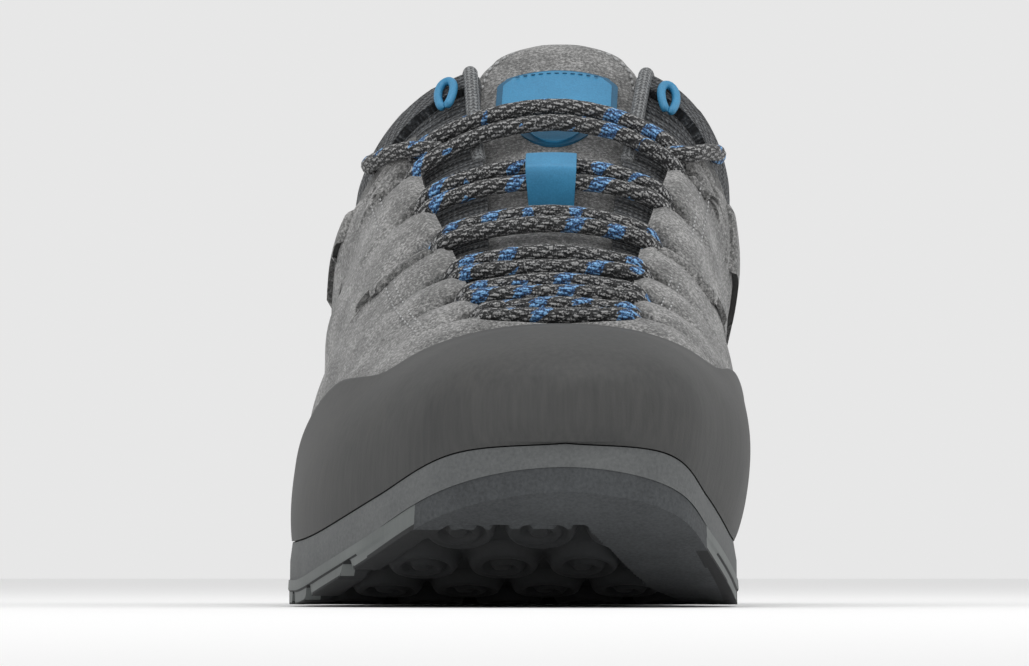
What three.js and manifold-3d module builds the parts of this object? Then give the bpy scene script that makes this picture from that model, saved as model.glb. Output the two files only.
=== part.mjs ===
// A right approach shoe: suede upper over a knit cuff, rubber toe rand, heel cup and heel sling,
// a round lace that crosses the throat, and a studded rubber sole under a foam midsole.
// Millimetres. The toe points to -Y, the inner side of the foot is +X, and +Z is up.
// The origin is on the floor, at the centre of the flat spot under the heel.

import * as THREE from 'three';
import { mergeVertices } from 'three/addons/utils/BufferGeometryUtils.js';
import Module from 'manifold-3d';

const wasm = await Module();
wasm.setup();

// Driving sizes of the form that every curved piece follows
const lastLength = 284;
const lastWidth = 98;
const instepHeight = 155;
const heelHeight = 18;
const heelBack = 34;
const toeY = heelBack - lastLength;

// Shape of the form's ends
const toeSetBack = 2.5;
const heelTuck = 1.5;
const heelLean = 12;
const toeZone = 0.2;
const heelZone = 0.22;
const shoulder = 0.72;
const fullness = 0.05;

// Walls and clearances
const seamGap = 0.3;
const shortestEdge = 0.01;
const suedeWall = 2;
const randWall = 1.8;
const accentWall = 1.4;
const stripWall = 1.6;
const eyestayWall = 1.4;
const facingWall = 1.8;
const cuffWall = 4.6;
const cuffInset = 0.8;
const tongueWall = 3.6;
const labelWall = 1;
const keeperWall = 1;
const insoleWall = 4;
const insoleDish = 1.2;

// Sole
const toeSpring = 25;
const archRise = 5;
const heelBevel = 4.5;
const outsoleWall = 5.6;
const treadDepth = 2.6;
const treadRim = 8;
const studRadius = 5;
const studPitch = 14;
const notchWidth = 5;
const notchDepth = 4;
const foamFacet = 0.55;
const insoleFlat = 0.3;
const heelNotchWidth = 12;

// Lace, loops and tapes
const laceRadius = 1.9;
const laceSkew = 3.4;
const loopRadius = 1.1;
const loopHeight = 9;
const loopWidth = 5;
const loopOpening = 0.12;
const loopSteps = 8;
const loopFaces = 5;
const pullWidth = 20;
const pullWall = 1.3;
const pullTop = 0.813 * instepHeight;
const pullBottom = 0.584 * instepHeight;
const heelNotchHalf = 9;
const laceLift = 1.05;
const laceSag = 1.4;
const heelStrandBack = 1.1;
const heelStrandBow = 0.2;
const heelStrandRise = 1;
const heelSlotDrop = 1;
const lobeCrown = 1;
const lobeGap = 0.041 * lastWidth;
const slitDepth = 0.112 * lastWidth;
const keeperRise = 0.4;
const keeperFoot = 1.6;
const cuffTuck = 10;
const facingTuck = 6;

// Sections of the form, from toe to heel. at is a share of lastLength; lateral, medial and crownX
// are shares of lastWidth; feather is a share of heelHeight; widest and crown are shares of
// instepHeight; flare is a share of the half width that the wall swells by above the feather line.
const sections = [
  { at: 0.000, lateral: 0.153, medial: 0.153, feather: 2.00, widest: 0.265, crown: 0.297, crownX: 0.153, flare: 0.02 },
  { at: 0.025, lateral: -0.090, medial: 0.365, feather: 1.88, widest: 0.277, crown: 0.350, crownX: 0.153, flare: 0.02 },
  { at: 0.100, lateral: -0.270, medial: 0.448, feather: 1.36, widest: 0.226, crown: 0.388, crownX: 0.140, flare: 0.03 },
  { at: 0.200, lateral: -0.420, medial: 0.492, feather: 0.92, widest: 0.184, crown: 0.406, crownX: 0.120, flare: 0.035 },
  { at: 0.350, lateral: -0.505, medial: 0.485, feather: 0.81, widest: 0.170, crown: 0.540, crownX: 0.085, flare: 0.03 },
  { at: 0.500, lateral: -0.469, medial: 0.367, feather: 0.96, widest: 0.370, crown: 0.710, crownX: 0.077, flare: 0.13 },
  { at: 0.650, lateral: -0.393, medial: 0.321, feather: 1.08, widest: 0.550, crown: 0.905, crownX: 0.080, flare: 0.30 },
  { at: 0.800, lateral: -0.342, medial: 0.357, feather: 1.03, widest: 0.510, crown: 0.985, crownX: 0.071, flare: 0.20 },
  { at: 0.910, lateral: -0.296, medial: 0.337, feather: 1.00, widest: 0.426, crown: 1.000, crownX: 0.051, flare: 0.15 },
  { at: 0.980, lateral: -0.148, medial: 0.204, feather: 1.00, widest: 0.387, crown: 0.968, crownX: 0.036, flare: 0.14 },
  { at: 1.000, lateral: 0.031, medial: 0.031, feather: 1.00, widest: 0.374, crown: 0.942, crownX: 0.031, flare: 0.14 },
];

// Stations of the mesh along the foot, as shares of lastLength
const stations = [0, 0.006, 0.022, 0.048, 0.085, 0.13, 0.175, 0.22, 0.26, 0.305, 0.35, 0.395, 0.44, 0.485,
  0.53, 0.575, 0.62, 0.665, 0.71, 0.76, 0.81, 0.855, 0.895, 0.93, 0.96, 0.98, 0.994, 1];
const wallSteps = 10;

// Lines on the side of the shoe. at is a share of lastLength and up a share of instepHeight.
const suedeTopline = [
  { at: 0.545, up: 0.80 }, { at: 0.575, up: 0.70 }, { at: 0.60, up: 0.63 }, { at: 0.65, up: 0.545 },
  { at: 0.71, up: 0.49 }, { at: 0.79, up: 0.465 }, { at: 0.86, up: 0.505 }, { at: 0.92, up: 0.58 },
  { at: 0.97, up: 0.635 }, { at: 1.06, up: 0.645 },
];
const cuffTopline = [
  { at: 0.585, up: 0.97 }, { at: 0.61, up: 0.82 }, { at: 0.64, up: 0.725 }, { at: 0.68, up: 0.66 },
  { at: 0.74, up: 0.615 }, { at: 0.81, up: 0.62 }, { at: 0.88, up: 0.67 }, { at: 0.95, up: 0.73 },
  { at: 1.06, up: 0.745 },
];
const randLines = {
  lateral: [
    { at: 0.183, up: 0.75 }, { at: 0.188, up: 0.40 }, { at: 0.24, up: 0.36 }, { at: 0.34, up: 0.295 },
    { at: 0.41, up: 0.205 }, { at: 0.45, up: 0.09 },
  ],
  medial: [
    { at: 0.183, up: 0.75 }, { at: 0.188, up: 0.40 }, { at: 0.24, up: 0.365 }, { at: 0.32, up: 0.335 },
    { at: 0.41, up: 0.265 }, { at: 0.50, up: 0.09 },
  ],
};
const slingLines = {
  upper: {
    lateral: [
      { at: 1.06, up: 0.565 }, { at: 0.96, up: 0.555 }, { at: 0.86, up: 0.475 }, { at: 0.74, up: 0.35 },
      { at: 0.60, up: 0.235 }, { at: 0.50, up: 0.16 }, { at: 0.465, up: 0.09 },
    ],
    medial: [
      { at: 1.06, up: 0.565 }, { at: 0.96, up: 0.555 }, { at: 0.86, up: 0.475 }, { at: 0.74, up: 0.36 },
      { at: 0.62, up: 0.25 }, { at: 0.54, up: 0.17 }, { at: 0.515, up: 0.09 },
    ],
  },
  lower: [
    { at: 1.06, up: 0.47 }, { at: 0.96, up: 0.46 }, { at: 0.86, up: 0.385 }, { at: 0.74, up: 0.25 },
    { at: 0.66, up: 0.16 }, { at: 0.63, up: 0.09 },
  ],
};
const cupLine = [
  { at: 1.06, up: 0.365 }, { at: 0.97, up: 0.34 }, { at: 0.88, up: 0.255 }, { at: 0.79, up: 0.19 },
  { at: 0.71, up: 0.145 }, { at: 0.67, up: 0.09 },
];
const accentLines = {
  upper: [{ at: 1.06, up: 0.461 }, { at: 0.96, up: 0.448 }, { at: 0.90, up: 0.412 }, { at: 0.85, up: 0.365 }],
  lower: [{ at: 1.06, up: 0.404 }, { at: 0.96, up: 0.39 }, { at: 0.90, up: 0.362 }, { at: 0.85, up: 0.35 }],
};

// The strip up the middle of the heel. up is a share of instepHeight and half of pullWidth.
const stripWidths = [
  { up: 0.125, half: 0.56 }, { up: 0.22, half: 0.56 }, { up: 0.39, half: 0.60 }, { up: 0.577, half: 0.76 },
];

// Openings over the instep, seen from above. at is a share of lastLength and half of lastWidth.
const throatWidths = [
  { at: 0.205, half: 0.04 }, { at: 0.209, half: 0.13 }, { at: 0.25, half: 0.21 }, { at: 0.34, half: 0.26 },
  { at: 0.45, half: 0.305 }, { at: 0.53, half: 0.33 }, { at: 0.585, half: 0.345 },
];
const lobeWidths = [
  { at: 0.21, half: 0.15 }, { at: 0.25, half: 0.18 }, { at: 0.34, half: 0.213 }, { at: 0.45, half: 0.262 },
  { at: 0.53, half: 0.298 }, { at: 0.60, half: 0.31 },
];
const eyestayRim = [
  { at: 0.22, lateral: 0.29, medial: 0.27 }, { at: 0.39, lateral: 0.42, medial: 0.355 },
  { at: 0.54, lateral: 0.425, medial: 0.345 },
];
const facingWidths = [
  { at: 0.203, half: 0.125 }, { at: 0.29, half: 0.15 }, { at: 0.46, half: 0.165 }, { at: 0.53, half: 0.19 },
  { at: 0.58, half: 0.20 }, { at: 0.68, half: 0.215 },
];
const loopAway = 0.27;
const tongueWidths = [
  { at: 0.218, half: 0.16 }, { at: 0.28, half: 0.20 }, { at: 0.40, half: 0.225 }, { at: 0.52, half: 0.235 },
  { at: 0.60, half: 0.23 }, { at: 0.632, half: 0.19 }, { at: 0.647, half: 0.12 }, { at: 0.652, half: 0.04 },
];

// Lowest height that an outline from above cuts to, as a share of instepHeight
const instepFloor = 0.36;

// Places along the throat, as shares of lastLength
const laceRows = [0.236, 0.276, 0.320, 0.381, 0.448, 0.515];
const labelSpan = [0.512, 0.602];
const labelHalf = 0.14;
const keeperSpan = [0.431, 0.465];
const keeperHalf = 0.058;
const eyestaySpan = [0.221, 0.542];
const slitRow = 3;
const slitLean = 0.016;
const loopAt = 0.575;
const loopProbe = 0.01;
const randMiddle = 0.2;
const gapHalf = 0.008;

// Way of the side strand: on along the foot and off the form in millimetres, and its distance from
// the crown on each side as a share of lastWidth
const sideStrand = [
  { on: 2, lateral: 0.32, medial: 0.305, off: 4 }, { on: 7, lateral: 0.37, medial: 0.33, off: 4.2 },
  { on: 12, lateral: 0.41, medial: 0.352, off: 3.6 }, { on: 17, lateral: 0.435, medial: 0.37, off: 2.6 },
];

// How far each sole layer reaches past the feather line. at is a share of lastLength; mid and floor
// are in shares of heelHeight.
const soleReach = [
  { at: 0.00, mid: 0.10, floor: 0.14 }, { at: 0.20, mid: 0.13, floor: 0.17 }, { at: 0.35, mid: 0.11, floor: 0.15 },
  { at: 0.50, mid: 0.14, floor: 0.20 }, { at: 0.65, mid: 0.18, floor: 0.26 }, { at: 0.80, mid: 0.20, floor: 0.32 },
  { at: 0.91, mid: 0.20, floor: 0.33 }, { at: 1.00, mid: 0.18, floor: 0.31 },
];
const soleZones = {
  springEnd: 0.27, springPower: 1.8, archFrom: 0.46, archTo: 0.74, bevelFrom: 0.9,
  treadFrom: 0.15, treadTo: 0.945, treadRamp: 0.03,
};
const studZones = [{ from: 0.20, to: 0.50 }, { from: 0.76, to: 0.925 }];
const notchPlaces = {
  lateral: [0.14, 0.20, 0.26, 0.33, 0.40, 0.80, 0.87],
  medial: [0.16, 0.23, 0.31, 0.39, 0.82, 0.89],
};

// Colours
const paint = {
  suede: [0x7b7b79, 0.95], rand: [0x48494a, 0.6], knit: [0x2f3134, 0.95], accent: [0x3a9fd0, 0.6],
  midsole: [0x6b6c6c, 0.85], outsole: [0x35383a, 0.75], insole: [0x2b2c2e, 0.95], lace: [0x232a33, 0.8],
  webbing: [0x33353a, 0.85],
};

// Position of a share along the length, on the scale that spaces the mesh by angle
const stationOf = (at) => Math.acos(1 - 2 * THREE.MathUtils.clamp(at, 0, 1)) / Math.PI;
const shareOf = (station) => (1 - Math.cos(Math.PI * station)) / 2;
const sides = { lateral: -1, medial: 1 };

// Value of a column between the rows of a table, by a smooth curve through them
function follow(rows, column, at, key = 'at', scale = (value) => value) {
  const where = scale(at);
  const knots = rows.map((row) => scale(row[key]));
  const values = rows.map((row) => row[column]);
  const last = rows.length - 1;
  if (where <= knots[0]) return values[0];
  if (where >= knots[last]) return values[last];
  const slope = (i) => (values[i + 1] - values[i]) / (knots[i + 1] - knots[i]);
  const tangent = (i) => {
    if (i === 0) return slope(0);
    if (i === last) return slope(last - 1);
    const before = knots[i] - knots[i - 1];
    const after = knots[i + 1] - knots[i];
    return (slope(i - 1) * after + slope(i) * before) / (before + after);
  };
  const i = Math.max(0, knots.findIndex((knot) => knot > where) - 1);
  const span = knots[i + 1] - knots[i];
  const f = (where - knots[i]) / span;
  const g = 1 - f;
  const ends = values[i] * (1 + 2 * f) * g * g + values[i + 1] * f * f * (3 - 2 * f);
  return ends + span * (tangent(i) * f * g * g - tangent(i + 1) * f * f * g);
}

// Value of a section column at a station, where 0 is the toe and 1 the heel
function section(column, station) {
  return follow(sections, column, shareOf(station), 'at', stationOf);
}

const featherAt = (station) => section('feather', station) * heelHeight;
const crownX = (at) => section('crownX', stationOf(at)) * lastWidth;

// Point of the form. turn runs from -1 at the outer feather line over 0 at the crown to 1.
function formPoint(station, turn) {
  const lateral = section('lateral', station) * lastWidth;
  const medial = section('medial', station) * lastWidth;
  const half = (medial - lateral) / 2;
  const base = (medial + lateral) / 2;
  const feather = featherAt(station);
  const widest = section('widest', station) * instepHeight;
  const crown = section('crown', station) * instepHeight;
  const swell = section('flare', station);
  const down = Math.abs(turn);
  let reach = half * (1 + swell);
  let height = widest;
  let setBack = 0;
  let lean = 0;
  if (down > shoulder) {
    const drop = (down - shoulder) / (1 - shoulder);
    reach = half * (1 + swell * (1 - drop * drop));
    height = widest - (widest - feather) * drop;
    setBack = drop * drop;
  } else {
    const rise = (1 - down / shoulder) * Math.PI / 2;
    const full = 1 + fullness * Math.sin(2 * rise) ** 2;
    reach *= Math.cos(rise) * full;
    height += (crown - widest) * Math.sin(rise) * full;
    lean = Math.sin(rise) ** 2;
  }
  const shift = (section('crownX', station) * lastWidth - base) * (height - feather) / (crown - feather);
  const atToe = THREE.MathUtils.smoothstep(toeZone - station, 0, toeZone);
  const atHeel = THREE.MathUtils.smoothstep(station, 1 - heelZone, 1);
  const y = toeY + lastLength * shareOf(station)
    + atToe * toeSetBack * setBack
    - atHeel * (heelTuck * setBack + heelLean * lean);
  return new THREE.Vector3(base + shift + Math.sign(turn) * reach, y, height);
}

// Outward direction of the form, level along the feather line
function formNormal(station, turn) {
  const step = 1e-4;
  const middle = THREE.MathUtils.clamp(station, step, 1 - step);
  const direction = (way) => {
    const along = formPoint(middle + step, way).sub(formPoint(middle - step, way));
    const across = formPoint(middle, way + step).sub(formPoint(middle, way - step));
    return across.cross(along).normalize();
  };
  const normal = direction(turn);
  if (middle !== station) normal.add(direction(-turn));
  if (Math.abs(turn) === 1) normal.z = 0;
  return normal.normalize();
}

// Point at a distance outside the form
const skin = (station, turn, grow) => formPoint(station, turn).addScaledVector(formNormal(station, turn), grow);

// A closed solid from the corners of its triangles, three after three
function solidOf(corners) {
  const geometry = new THREE.BufferGeometry();
  geometry.setAttribute('position', new THREE.Float32BufferAttribute(corners.flatMap((p) => [p.x, p.y, p.z]), 3));
  return solidFrom(geometry);
}

// A closed solid from a geometry
function solidFrom(geometry) {
  geometry.deleteAttribute('normal');
  geometry.deleteAttribute('uv');
  const merged = mergeVertices(geometry, 1e-4);
  const index = merged.getIndex().array;
  const kept = [];
  for (let i = 0; i < index.length; i += 3) {
    const [a, b, c] = [index[i], index[i + 1], index[i + 2]];
    if (a !== b && b !== c && c !== a) kept.push(a, b, c);
  }
  const vertProperties = new Float32Array(merged.getAttribute('position').array);
  return new wasm.Manifold(new wasm.Mesh({ numProp: 3, vertProperties, triVerts: new Uint32Array(kept) }));
}

// Two triangles between four points, seen in order from outside
const quad = (a, b, c, d) => [a, b, c, a, c, d];

// A skin of quads over rings of points that all hold the same number. The end rings are folded flat.
function loft(rings) {
  const corners = [];
  for (let i = 0; i < rings.length - 1; i += 1) {
    const count = rings[i].length;
    for (let j = 0; j < count; j += 1) {
      const k = (j + 1) % count;
      corners.push(...quad(rings[i][j], rings[i][k], rings[i + 1][k], rings[i + 1][j]));
    }
  }
  return solidOf(corners);
}

// The closed form, grown by a distance, with its underside lowered by sink
function formSolid(grow, sink = 0) {
  const rings = stations.map((at) => {
    const station = stationOf(at);
    const ring = [];
    for (let j = -wallSteps; j <= wallSteps; j += 1) ring.push(skin(station, j / wallSteps, grow));
    const low = new THREE.Vector3(0, 0, -sink);
    if (sink > 0) ring.push(ring[2 * wallSteps].clone().add(low));
    if (sink > 0) ring.push(ring[0].clone().add(low));
    return ring;
  });
  return loft(rings);
}

// The wall between two grown forms, open underneath
const layer = (outside, wall) => formSolid(outside).subtract(formSolid(outside - wall, heelHeight));

// Points of a smooth curve through the rows of a line, as distances along and up
function linePoints(rows, steps = 1) {
  const knots = rows.map((row) => new THREE.Vector3(toeY + row.at * lastLength, row.up * instepHeight, 0));
  const curve = new THREE.CatmullRomCurve3(knots, false, 'centripetal');
  return curve.getPoints((rows.length - 1) * steps).map((p) => new THREE.Vector2(p.x, p.y));
}

const farOut = 160;
const farUp = 260;
const alongYUpZ = new THREE.Matrix4().makeBasis(
  new THREE.Vector3(0, 1, 0),
  new THREE.Vector3(0, 0, 1),
  new THREE.Vector3(1, 0, 0),
);
const alongXUpZ = new THREE.Matrix4().makeBasis(
  new THREE.Vector3(1, 0, 0),
  new THREE.Vector3(0, 0, 1),
  new THREE.Vector3(0, -1, 0),
);

// A block with the outline of the side, on one side of the middle or right across
function sideBlock(points, side = 0, middle = 0) {
  const depth = side === 0 ? 2 * farOut : farOut;
  const geometry = new THREE.ExtrudeGeometry(new THREE.Shape(points), { depth, bevelEnabled: false });
  geometry.applyMatrix4(alongYUpZ);
  geometry.translate(side > 0 ? middle : middle - farOut, 0, 0);
  return solidFrom(geometry);
}

// A block that stands on an outline drawn from above
function planBlock(points, low = 0, high = farUp) {
  const shape = new THREE.Shape(points.map(([x, y]) => new THREE.Vector2(x, y)));
  const geometry = new THREE.ExtrudeGeometry(shape, { depth: high - low, bevelEnabled: false });
  geometry.translate(0, 0, low);
  return solidFrom(geometry);
}

const corner = (y, z) => new THREE.Vector2(y, z);
const farFront = toeY - farOut;
const farBack = heelBack + farOut;
const aboveLine = (rows) => [...linePoints(rows), corner(farBack, farUp), corner(linePoints(rows)[0].x, farUp)];
const belowLine = (rows, drop) => {
  const line = linePoints(rows).map((point) => corner(point.x, point.y - drop));
  return [...line.reverse(), corner(farFront, farUp), corner(farFront, -farOut), corner(farBack, -farOut)];
};

// An outline from above, of a width that follows a table on both sides of the crown
function crownOutline(widths, trim = 0) {
  const left = widths.map(({ at, half }) => [crownX(at) - half * lastWidth - trim, toeY + at * lastLength]);
  const right = widths.map(({ at, half }) => [crownX(at) + half * lastWidth + trim, toeY + at * lastLength]);
  return [...right, ...left.reverse()];
}

// A rectangle from above, centred on the crown between two shares of the length
function crownPatch([from, to], half) {
  return crownOutline([{ at: from, half }, { at: to, half }]);
}

// Turn of the form at a sideways distance from the crown
function turnAt(station, away) {
  const crown = section('crownX', station) * lastWidth;
  let low = 0;
  let high = shoulder;
  for (let i = 0; i < 30; i += 1) {
    const middle = (low + high) / 2;
    const reach = Math.abs(formPoint(station, Math.sign(away) * middle).x - crown);
    if (reach < Math.abs(away)) low = middle;
    else high = middle;
  }
  return Math.sign(away) * low;
}

// Point over the instep: a share of the length, a distance from the crown and a height off the form
function instepPoint(at, away, grow) {
  const station = stationOf(at);
  return skin(station, turnAt(station, away), grow);
}

// A round cord through points
function cordSolid(points, radius, steps, faces = 6) {
  const outline = [];
  for (let i = 0; i < faces; i += 1) {
    const angle = 2 * Math.PI * i / faces;
    outline.push(new THREE.Vector2(radius * Math.cos(angle), radius * Math.sin(angle)));
  }
  const extrudePath = new THREE.CatmullRomCurve3(points, false, 'centripetal');
  return solidFrom(new THREE.ExtrudeGeometry(new THREE.Shape(outline), { steps, extrudePath, bevelEnabled: false }));
}

// Height of the ground side of the sole above the floor
function ground(at) {
  const { springEnd, springPower, archFrom, archTo, bevelFrom } = soleZones;
  const spring = toeSpring * Math.max(0, (springEnd - at) / springEnd) ** springPower;
  const bevel = heelBevel * Math.max(0, (at - bevelFrom) / (1 - bevelFrom)) ** 2;
  const inArch = at > archFrom && at < archTo;
  const arch = inArch ? archRise * Math.sin(Math.PI * (at - archFrom) / (archTo - archFrom)) ** 2 : 0;
  return spring + bevel + arch;
}

// Point of a sole's edge, at a height
function edgePoint(station, side, grow, height) {
  const point = skin(station, side, grow);
  point.z = height;
  return point;
}

const reachOf = (column, at) => follow(soleReach, column, at) * heelHeight;
const soleRings = (ringAt) => stations.map((at) => ringAt(at, stationOf(at)));

function outsoleSolid() {
  const { treadFrom, treadTo, treadRamp } = soleZones;
  const plate = loft(soleRings((at, station) => {
    const floor = ground(at);
    const top = floor + outsoleWall;
    const fade = THREE.MathUtils.smoothstep(at, treadFrom, treadFrom + treadRamp)
      * (1 - THREE.MathUtils.smoothstep(at, treadTo - treadRamp, treadTo));
    const outer = reachOf('floor', at);
    const inner = (reachOf('mid', at) + outer) / 2;
    const half = edgePoint(station, 1, outer, 0).distanceTo(edgePoint(station, -1, outer, 0)) / 2;
    const inside = Math.min(0.5, treadRim / Math.max(half * 2, treadRim));
    const across = (share, height) => {
      const from = edgePoint(station, -1, outer, height);
      return from.lerp(edgePoint(station, 1, outer, height), share);
    };
    return [
      edgePoint(station, -1, inner, top),
      edgePoint(station, 1, inner, top),
      across(1, floor),
      across(1 - inside, floor),
      across(1 - inside, floor + treadDepth * fade),
      across(inside, floor + treadDepth * fade),
      across(inside, floor),
      across(0, floor),
    ];
  }));
  const treads = studSolids();
  return notchSolids().reduce((body, cut) => body.subtract(cut), wasm.Manifold.union([plate, ...treads]));
}

// Round studs in staggered rows, inside the rim of the tread. One stands on the origin.
function studSolids() {
  const studs = [];
  const columns = Math.ceil(lastWidth / studPitch);
  studZones.forEach(({ from, to }) => {
    const first = Math.ceil((toeY + from * lastLength) / studPitch);
    const last = Math.floor((toeY + to * lastLength) / studPitch);
    for (let row = first; row <= last; row += 1) {
      const at = (row * studPitch - toeY) / lastLength;
      const stagger = Math.abs(row % 2) / 2;
      const left = edgePoint(stationOf(at), -1, 0, 0).x + treadRim + studRadius / 2;
      const right = edgePoint(stationOf(at), 1, 0, 0).x - treadRim - studRadius / 2;
      for (let column = -columns; column <= columns; column += 1) {
        const x = (column + stagger) * studPitch;
        if (x >= left && x <= right) studs.push(studSolid(x, at));
      }
    }
  });
  return studs;
}

function studSolid(x, at) {
  const height = outsoleWall - 1;
  const geometry = new THREE.CylinderGeometry(studRadius, studRadius, height, 6);
  geometry.rotateX(Math.PI / 2);
  geometry.translate(x, toeY + at * lastLength, ground(at) + height / 2);
  return solidFrom(geometry);
}

// Notches in the rim of the tread, and one in the middle of the heel
function notchSolids() {
  const cuts = [];
  Object.entries(notchPlaces).forEach(([name, places]) => places.forEach((at) => {
    const edge = edgePoint(stationOf(at), sides[name], reachOf('floor', at), ground(at));
    const geometry = new THREE.BoxGeometry(2 * notchDepth, notchWidth, 2 * treadDepth);
    geometry.translate(edge.x, edge.y, edge.z);
    cuts.push(solidFrom(geometry));
  }));
  const back = new THREE.BoxGeometry(heelNotchWidth, 2 * notchDepth, 2 * treadDepth);
  const middle = edgePoint(1, 1, reachOf('floor', 1), ground(1));
  back.translate(middle.x, middle.y, middle.z);
  cuts.push(solidFrom(back));
  return cuts;
}

// Foam layer, with one facet line along its side
function midsoleSolid() {
  return loft(soleRings((at, station) => {
    const low = ground(at) + outsoleWall + seamGap;
    const high = featherAt(station) - seamGap;
    const middle = low + (high - low) * foamFacet;
    const mid = reachOf('mid', at);
    const foot = (mid + reachOf('floor', at)) / 2;
    const top = outside.rand;
    return [
      edgePoint(station, -1, top, high), edgePoint(station, 1, top, high),
      edgePoint(station, 1, mid, middle), edgePoint(station, 1, foot, low),
      edgePoint(station, -1, foot, low), edgePoint(station, -1, mid, middle),
    ];
  }));
}

// Footbed, dished along the middle and clear of the wall
function insoleSolid() {
  const inset = -(suedeWall + 2 * seamGap);
  return loft(soleRings((at, station) => {
    const low = featherAt(station);
    const top = low + insoleWall;
    const left = (height) => edgePoint(station, -1, inset, height);
    const right = (height) => edgePoint(station, 1, inset, height);
    const dish = insoleDish * Math.sin(Math.PI * station);
    return [
      left(top), left(top - dish).lerp(right(top - dish), insoleFlat), left(top - dish).lerp(right(top - dish), 1 - insoleFlat),
      right(top), right(low), left(low),
    ];
  }));
}

// Layers from the outside in: where each one's outer face lies off the form
const outside = {
  suede: 0,
  rand: seamGap + randWall,
  accent: seamGap + accentWall,
  strip: 2 * seamGap + randWall + stripWall,
  eyestay: seamGap + eyestayWall,
  facing: -suedeWall - seamGap,
  cuff: -cuffInset,
  tongue: -cuffInset - cuffWall - seamGap,
};

const overInstep = (outline) => planBlock(outline, instepFloor * instepHeight);
const throatBlock = (trim = 0) => overInstep(crownOutline(throatWidths, trim));
const heelX = section('medial', 1) * lastWidth;

// Slot in the heel band, where the lace and the pull loop show
function heelSlot(trim = 0) {
  const half = heelNotchHalf + trim;
  return planBlock([[heelX - half, 0], [heelX + half, 0], [heelX + half, farBack], [heelX - half, farBack]],
    pullBottom - heelSlotDrop - trim);
}

function upperSolid() {
  return layer(outside.suede, suedeWall)
    .subtract(sideBlock(aboveLine(suedeTopline)))
    .subtract(throatBlock())
    .subtract(heelSlot());
}

// Tongue, padded, between the two edges of the throat
function tongueSolid() {
  return layer(outside.tongue, tongueWall).intersect(overInstep(crownOutline(tongueWidths)));
}

// Padded knit: facings under both edges of the throat, and a cuff that stands above the suede
function cuffSolid() {
  const facingHole = overInstep(crownOutline(facingWidths));
  const facing = layer(outside.facing, facingWall).subtract(sideBlock(belowLine(suedeTopline, cuffTuck)));
  const throatEdge = layer(outside.facing, facingWall).intersect(throatBlock(facingTuck));
  const cuff = layer(outside.cuff, cuffWall).subtract(sideBlock(belowLine(suedeTopline, -seamGap)));
  return wasm.Manifold.union([facing, throatEdge, cuff])
    .subtract(sideBlock(aboveLine(cuffTopline)))
    .subtract(facingHole);
}

// Rubber that wraps the toe, up to the foot of the throat
function randSolid() {
  const region = Object.entries(randLines).map(([name, rows]) => {
    const line = linePoints(rows);
    return sideBlock([...line, corner(farFront, -farOut), corner(farFront, farUp)], sides[name], crownX(randMiddle));
  });
  return layer(outside.rand, randWall).intersect(wasm.Manifold.union(region));
}

// Rubber cup around the heel
function cupSolid() {
  const line = linePoints(cupLine);
  return layer(outside.rand, randWall).intersect(sideBlock([...line, corner(farBack, -farOut)]));
}

// Rubber band that runs behind the heel and down to the sole on both sides
function slingSolid() {
  const arms = Object.entries(slingLines.upper).map(([name, rows]) => {
    const band = [...linePoints(rows), ...linePoints(slingLines.lower).reverse()];
    return sideBlock(band, sides[name], heelX);
  });
  return layer(outside.rand, randWall).intersect(wasm.Manifold.union(arms));
}

// Blue wedge between the sling and the cup, on one side of the heel strip
function accentSolid(side) {
  const band = [...linePoints(accentLines.upper), ...linePoints(accentLines.lower).reverse()];
  const beside = heelX + side * (stripWidths[1].half * pullWidth + seamGap);
  return layer(outside.accent, accentWall).intersect(sideBlock(band, side, beside));
}

// Strip up the middle of the heel, over the cup and the sling
function stripSolid() {
  const edge = (side) => stripWidths.map(({ up, half }) => (
    new THREE.Vector2(heelX + side * half * pullWidth, up * instepHeight)));
  const shape = new THREE.Shape([...edge(1), ...edge(-1).reverse()]);
  const geometry = new THREE.ExtrudeGeometry(shape, { depth: farOut, bevelEnabled: false });
  geometry.applyMatrix4(alongXUpZ);
  geometry.translate(0, farOut, 0);
  return layer(outside.strip, stripWall).intersect(solidFrom(geometry));
}

// Suede flap along one edge of the throat: a lobe between each two lace rows, a gap at each row,
// and one gap that runs on as a slit
function eyestaySolid(name) {
  const side = sides[name];
  const edgeAt = (at, away) => [crownX(at) + side * away, toeY + at * lastLength];
  const lobeAt = (at) => follow(lobeWidths, 'half', at) * lastWidth;
  const ends = [...laceRows, eyestaySpan[1]];
  const inner = [edgeAt(eyestaySpan[0], lobeAt(eyestaySpan[0]))];
  laceRows.forEach((at, i) => {
    const deep = i === slitRow;
    const middle = (at + ends[i + 1]) / 2;
    inner.push(
      edgeAt(at - gapHalf, lobeAt(at)),
      edgeAt(at - (deep ? slitLean : 0), lobeAt(at) + (deep ? slitDepth : lobeGap)),
      edgeAt(at + gapHalf, lobeAt(at)),
      edgeAt(middle, lobeAt(middle) - lobeCrown),
    );
  });
  const [from, to] = eyestaySpan;
  const rim = [to, (from + to) / 2, from].map((at) => edgeAt(at, follow(eyestayRim, name, at) * lastWidth));
  return layer(outside.eyestay, eyestayWall).intersect(overInstep([...inner, ...rim]));
}

// Two strands of the lace that cross between a pair of lobes, joined where they meet
function laceRowSolid(at) {
  const lean = laceSkew / lastLength;
  const strand = (way) => {
    const points = [-1, -0.6, -0.25, 0, 0.25, 0.6, 1].map((across) => {
      const where = at + way * across * lean;
      const reach = follow(lobeWidths, 'half', where) * lastWidth - lobeCrown - 3 * seamGap;
      const sag = laceSag * (1 - across * across);
      return instepPoint(where, across * reach, outside.facing + laceRadius + laceLift - sag);
    });
    return cordSolid(points, laceRadius, 5);
  };
  return wasm.Manifold.union([strand(1), strand(-1)]);
}

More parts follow.
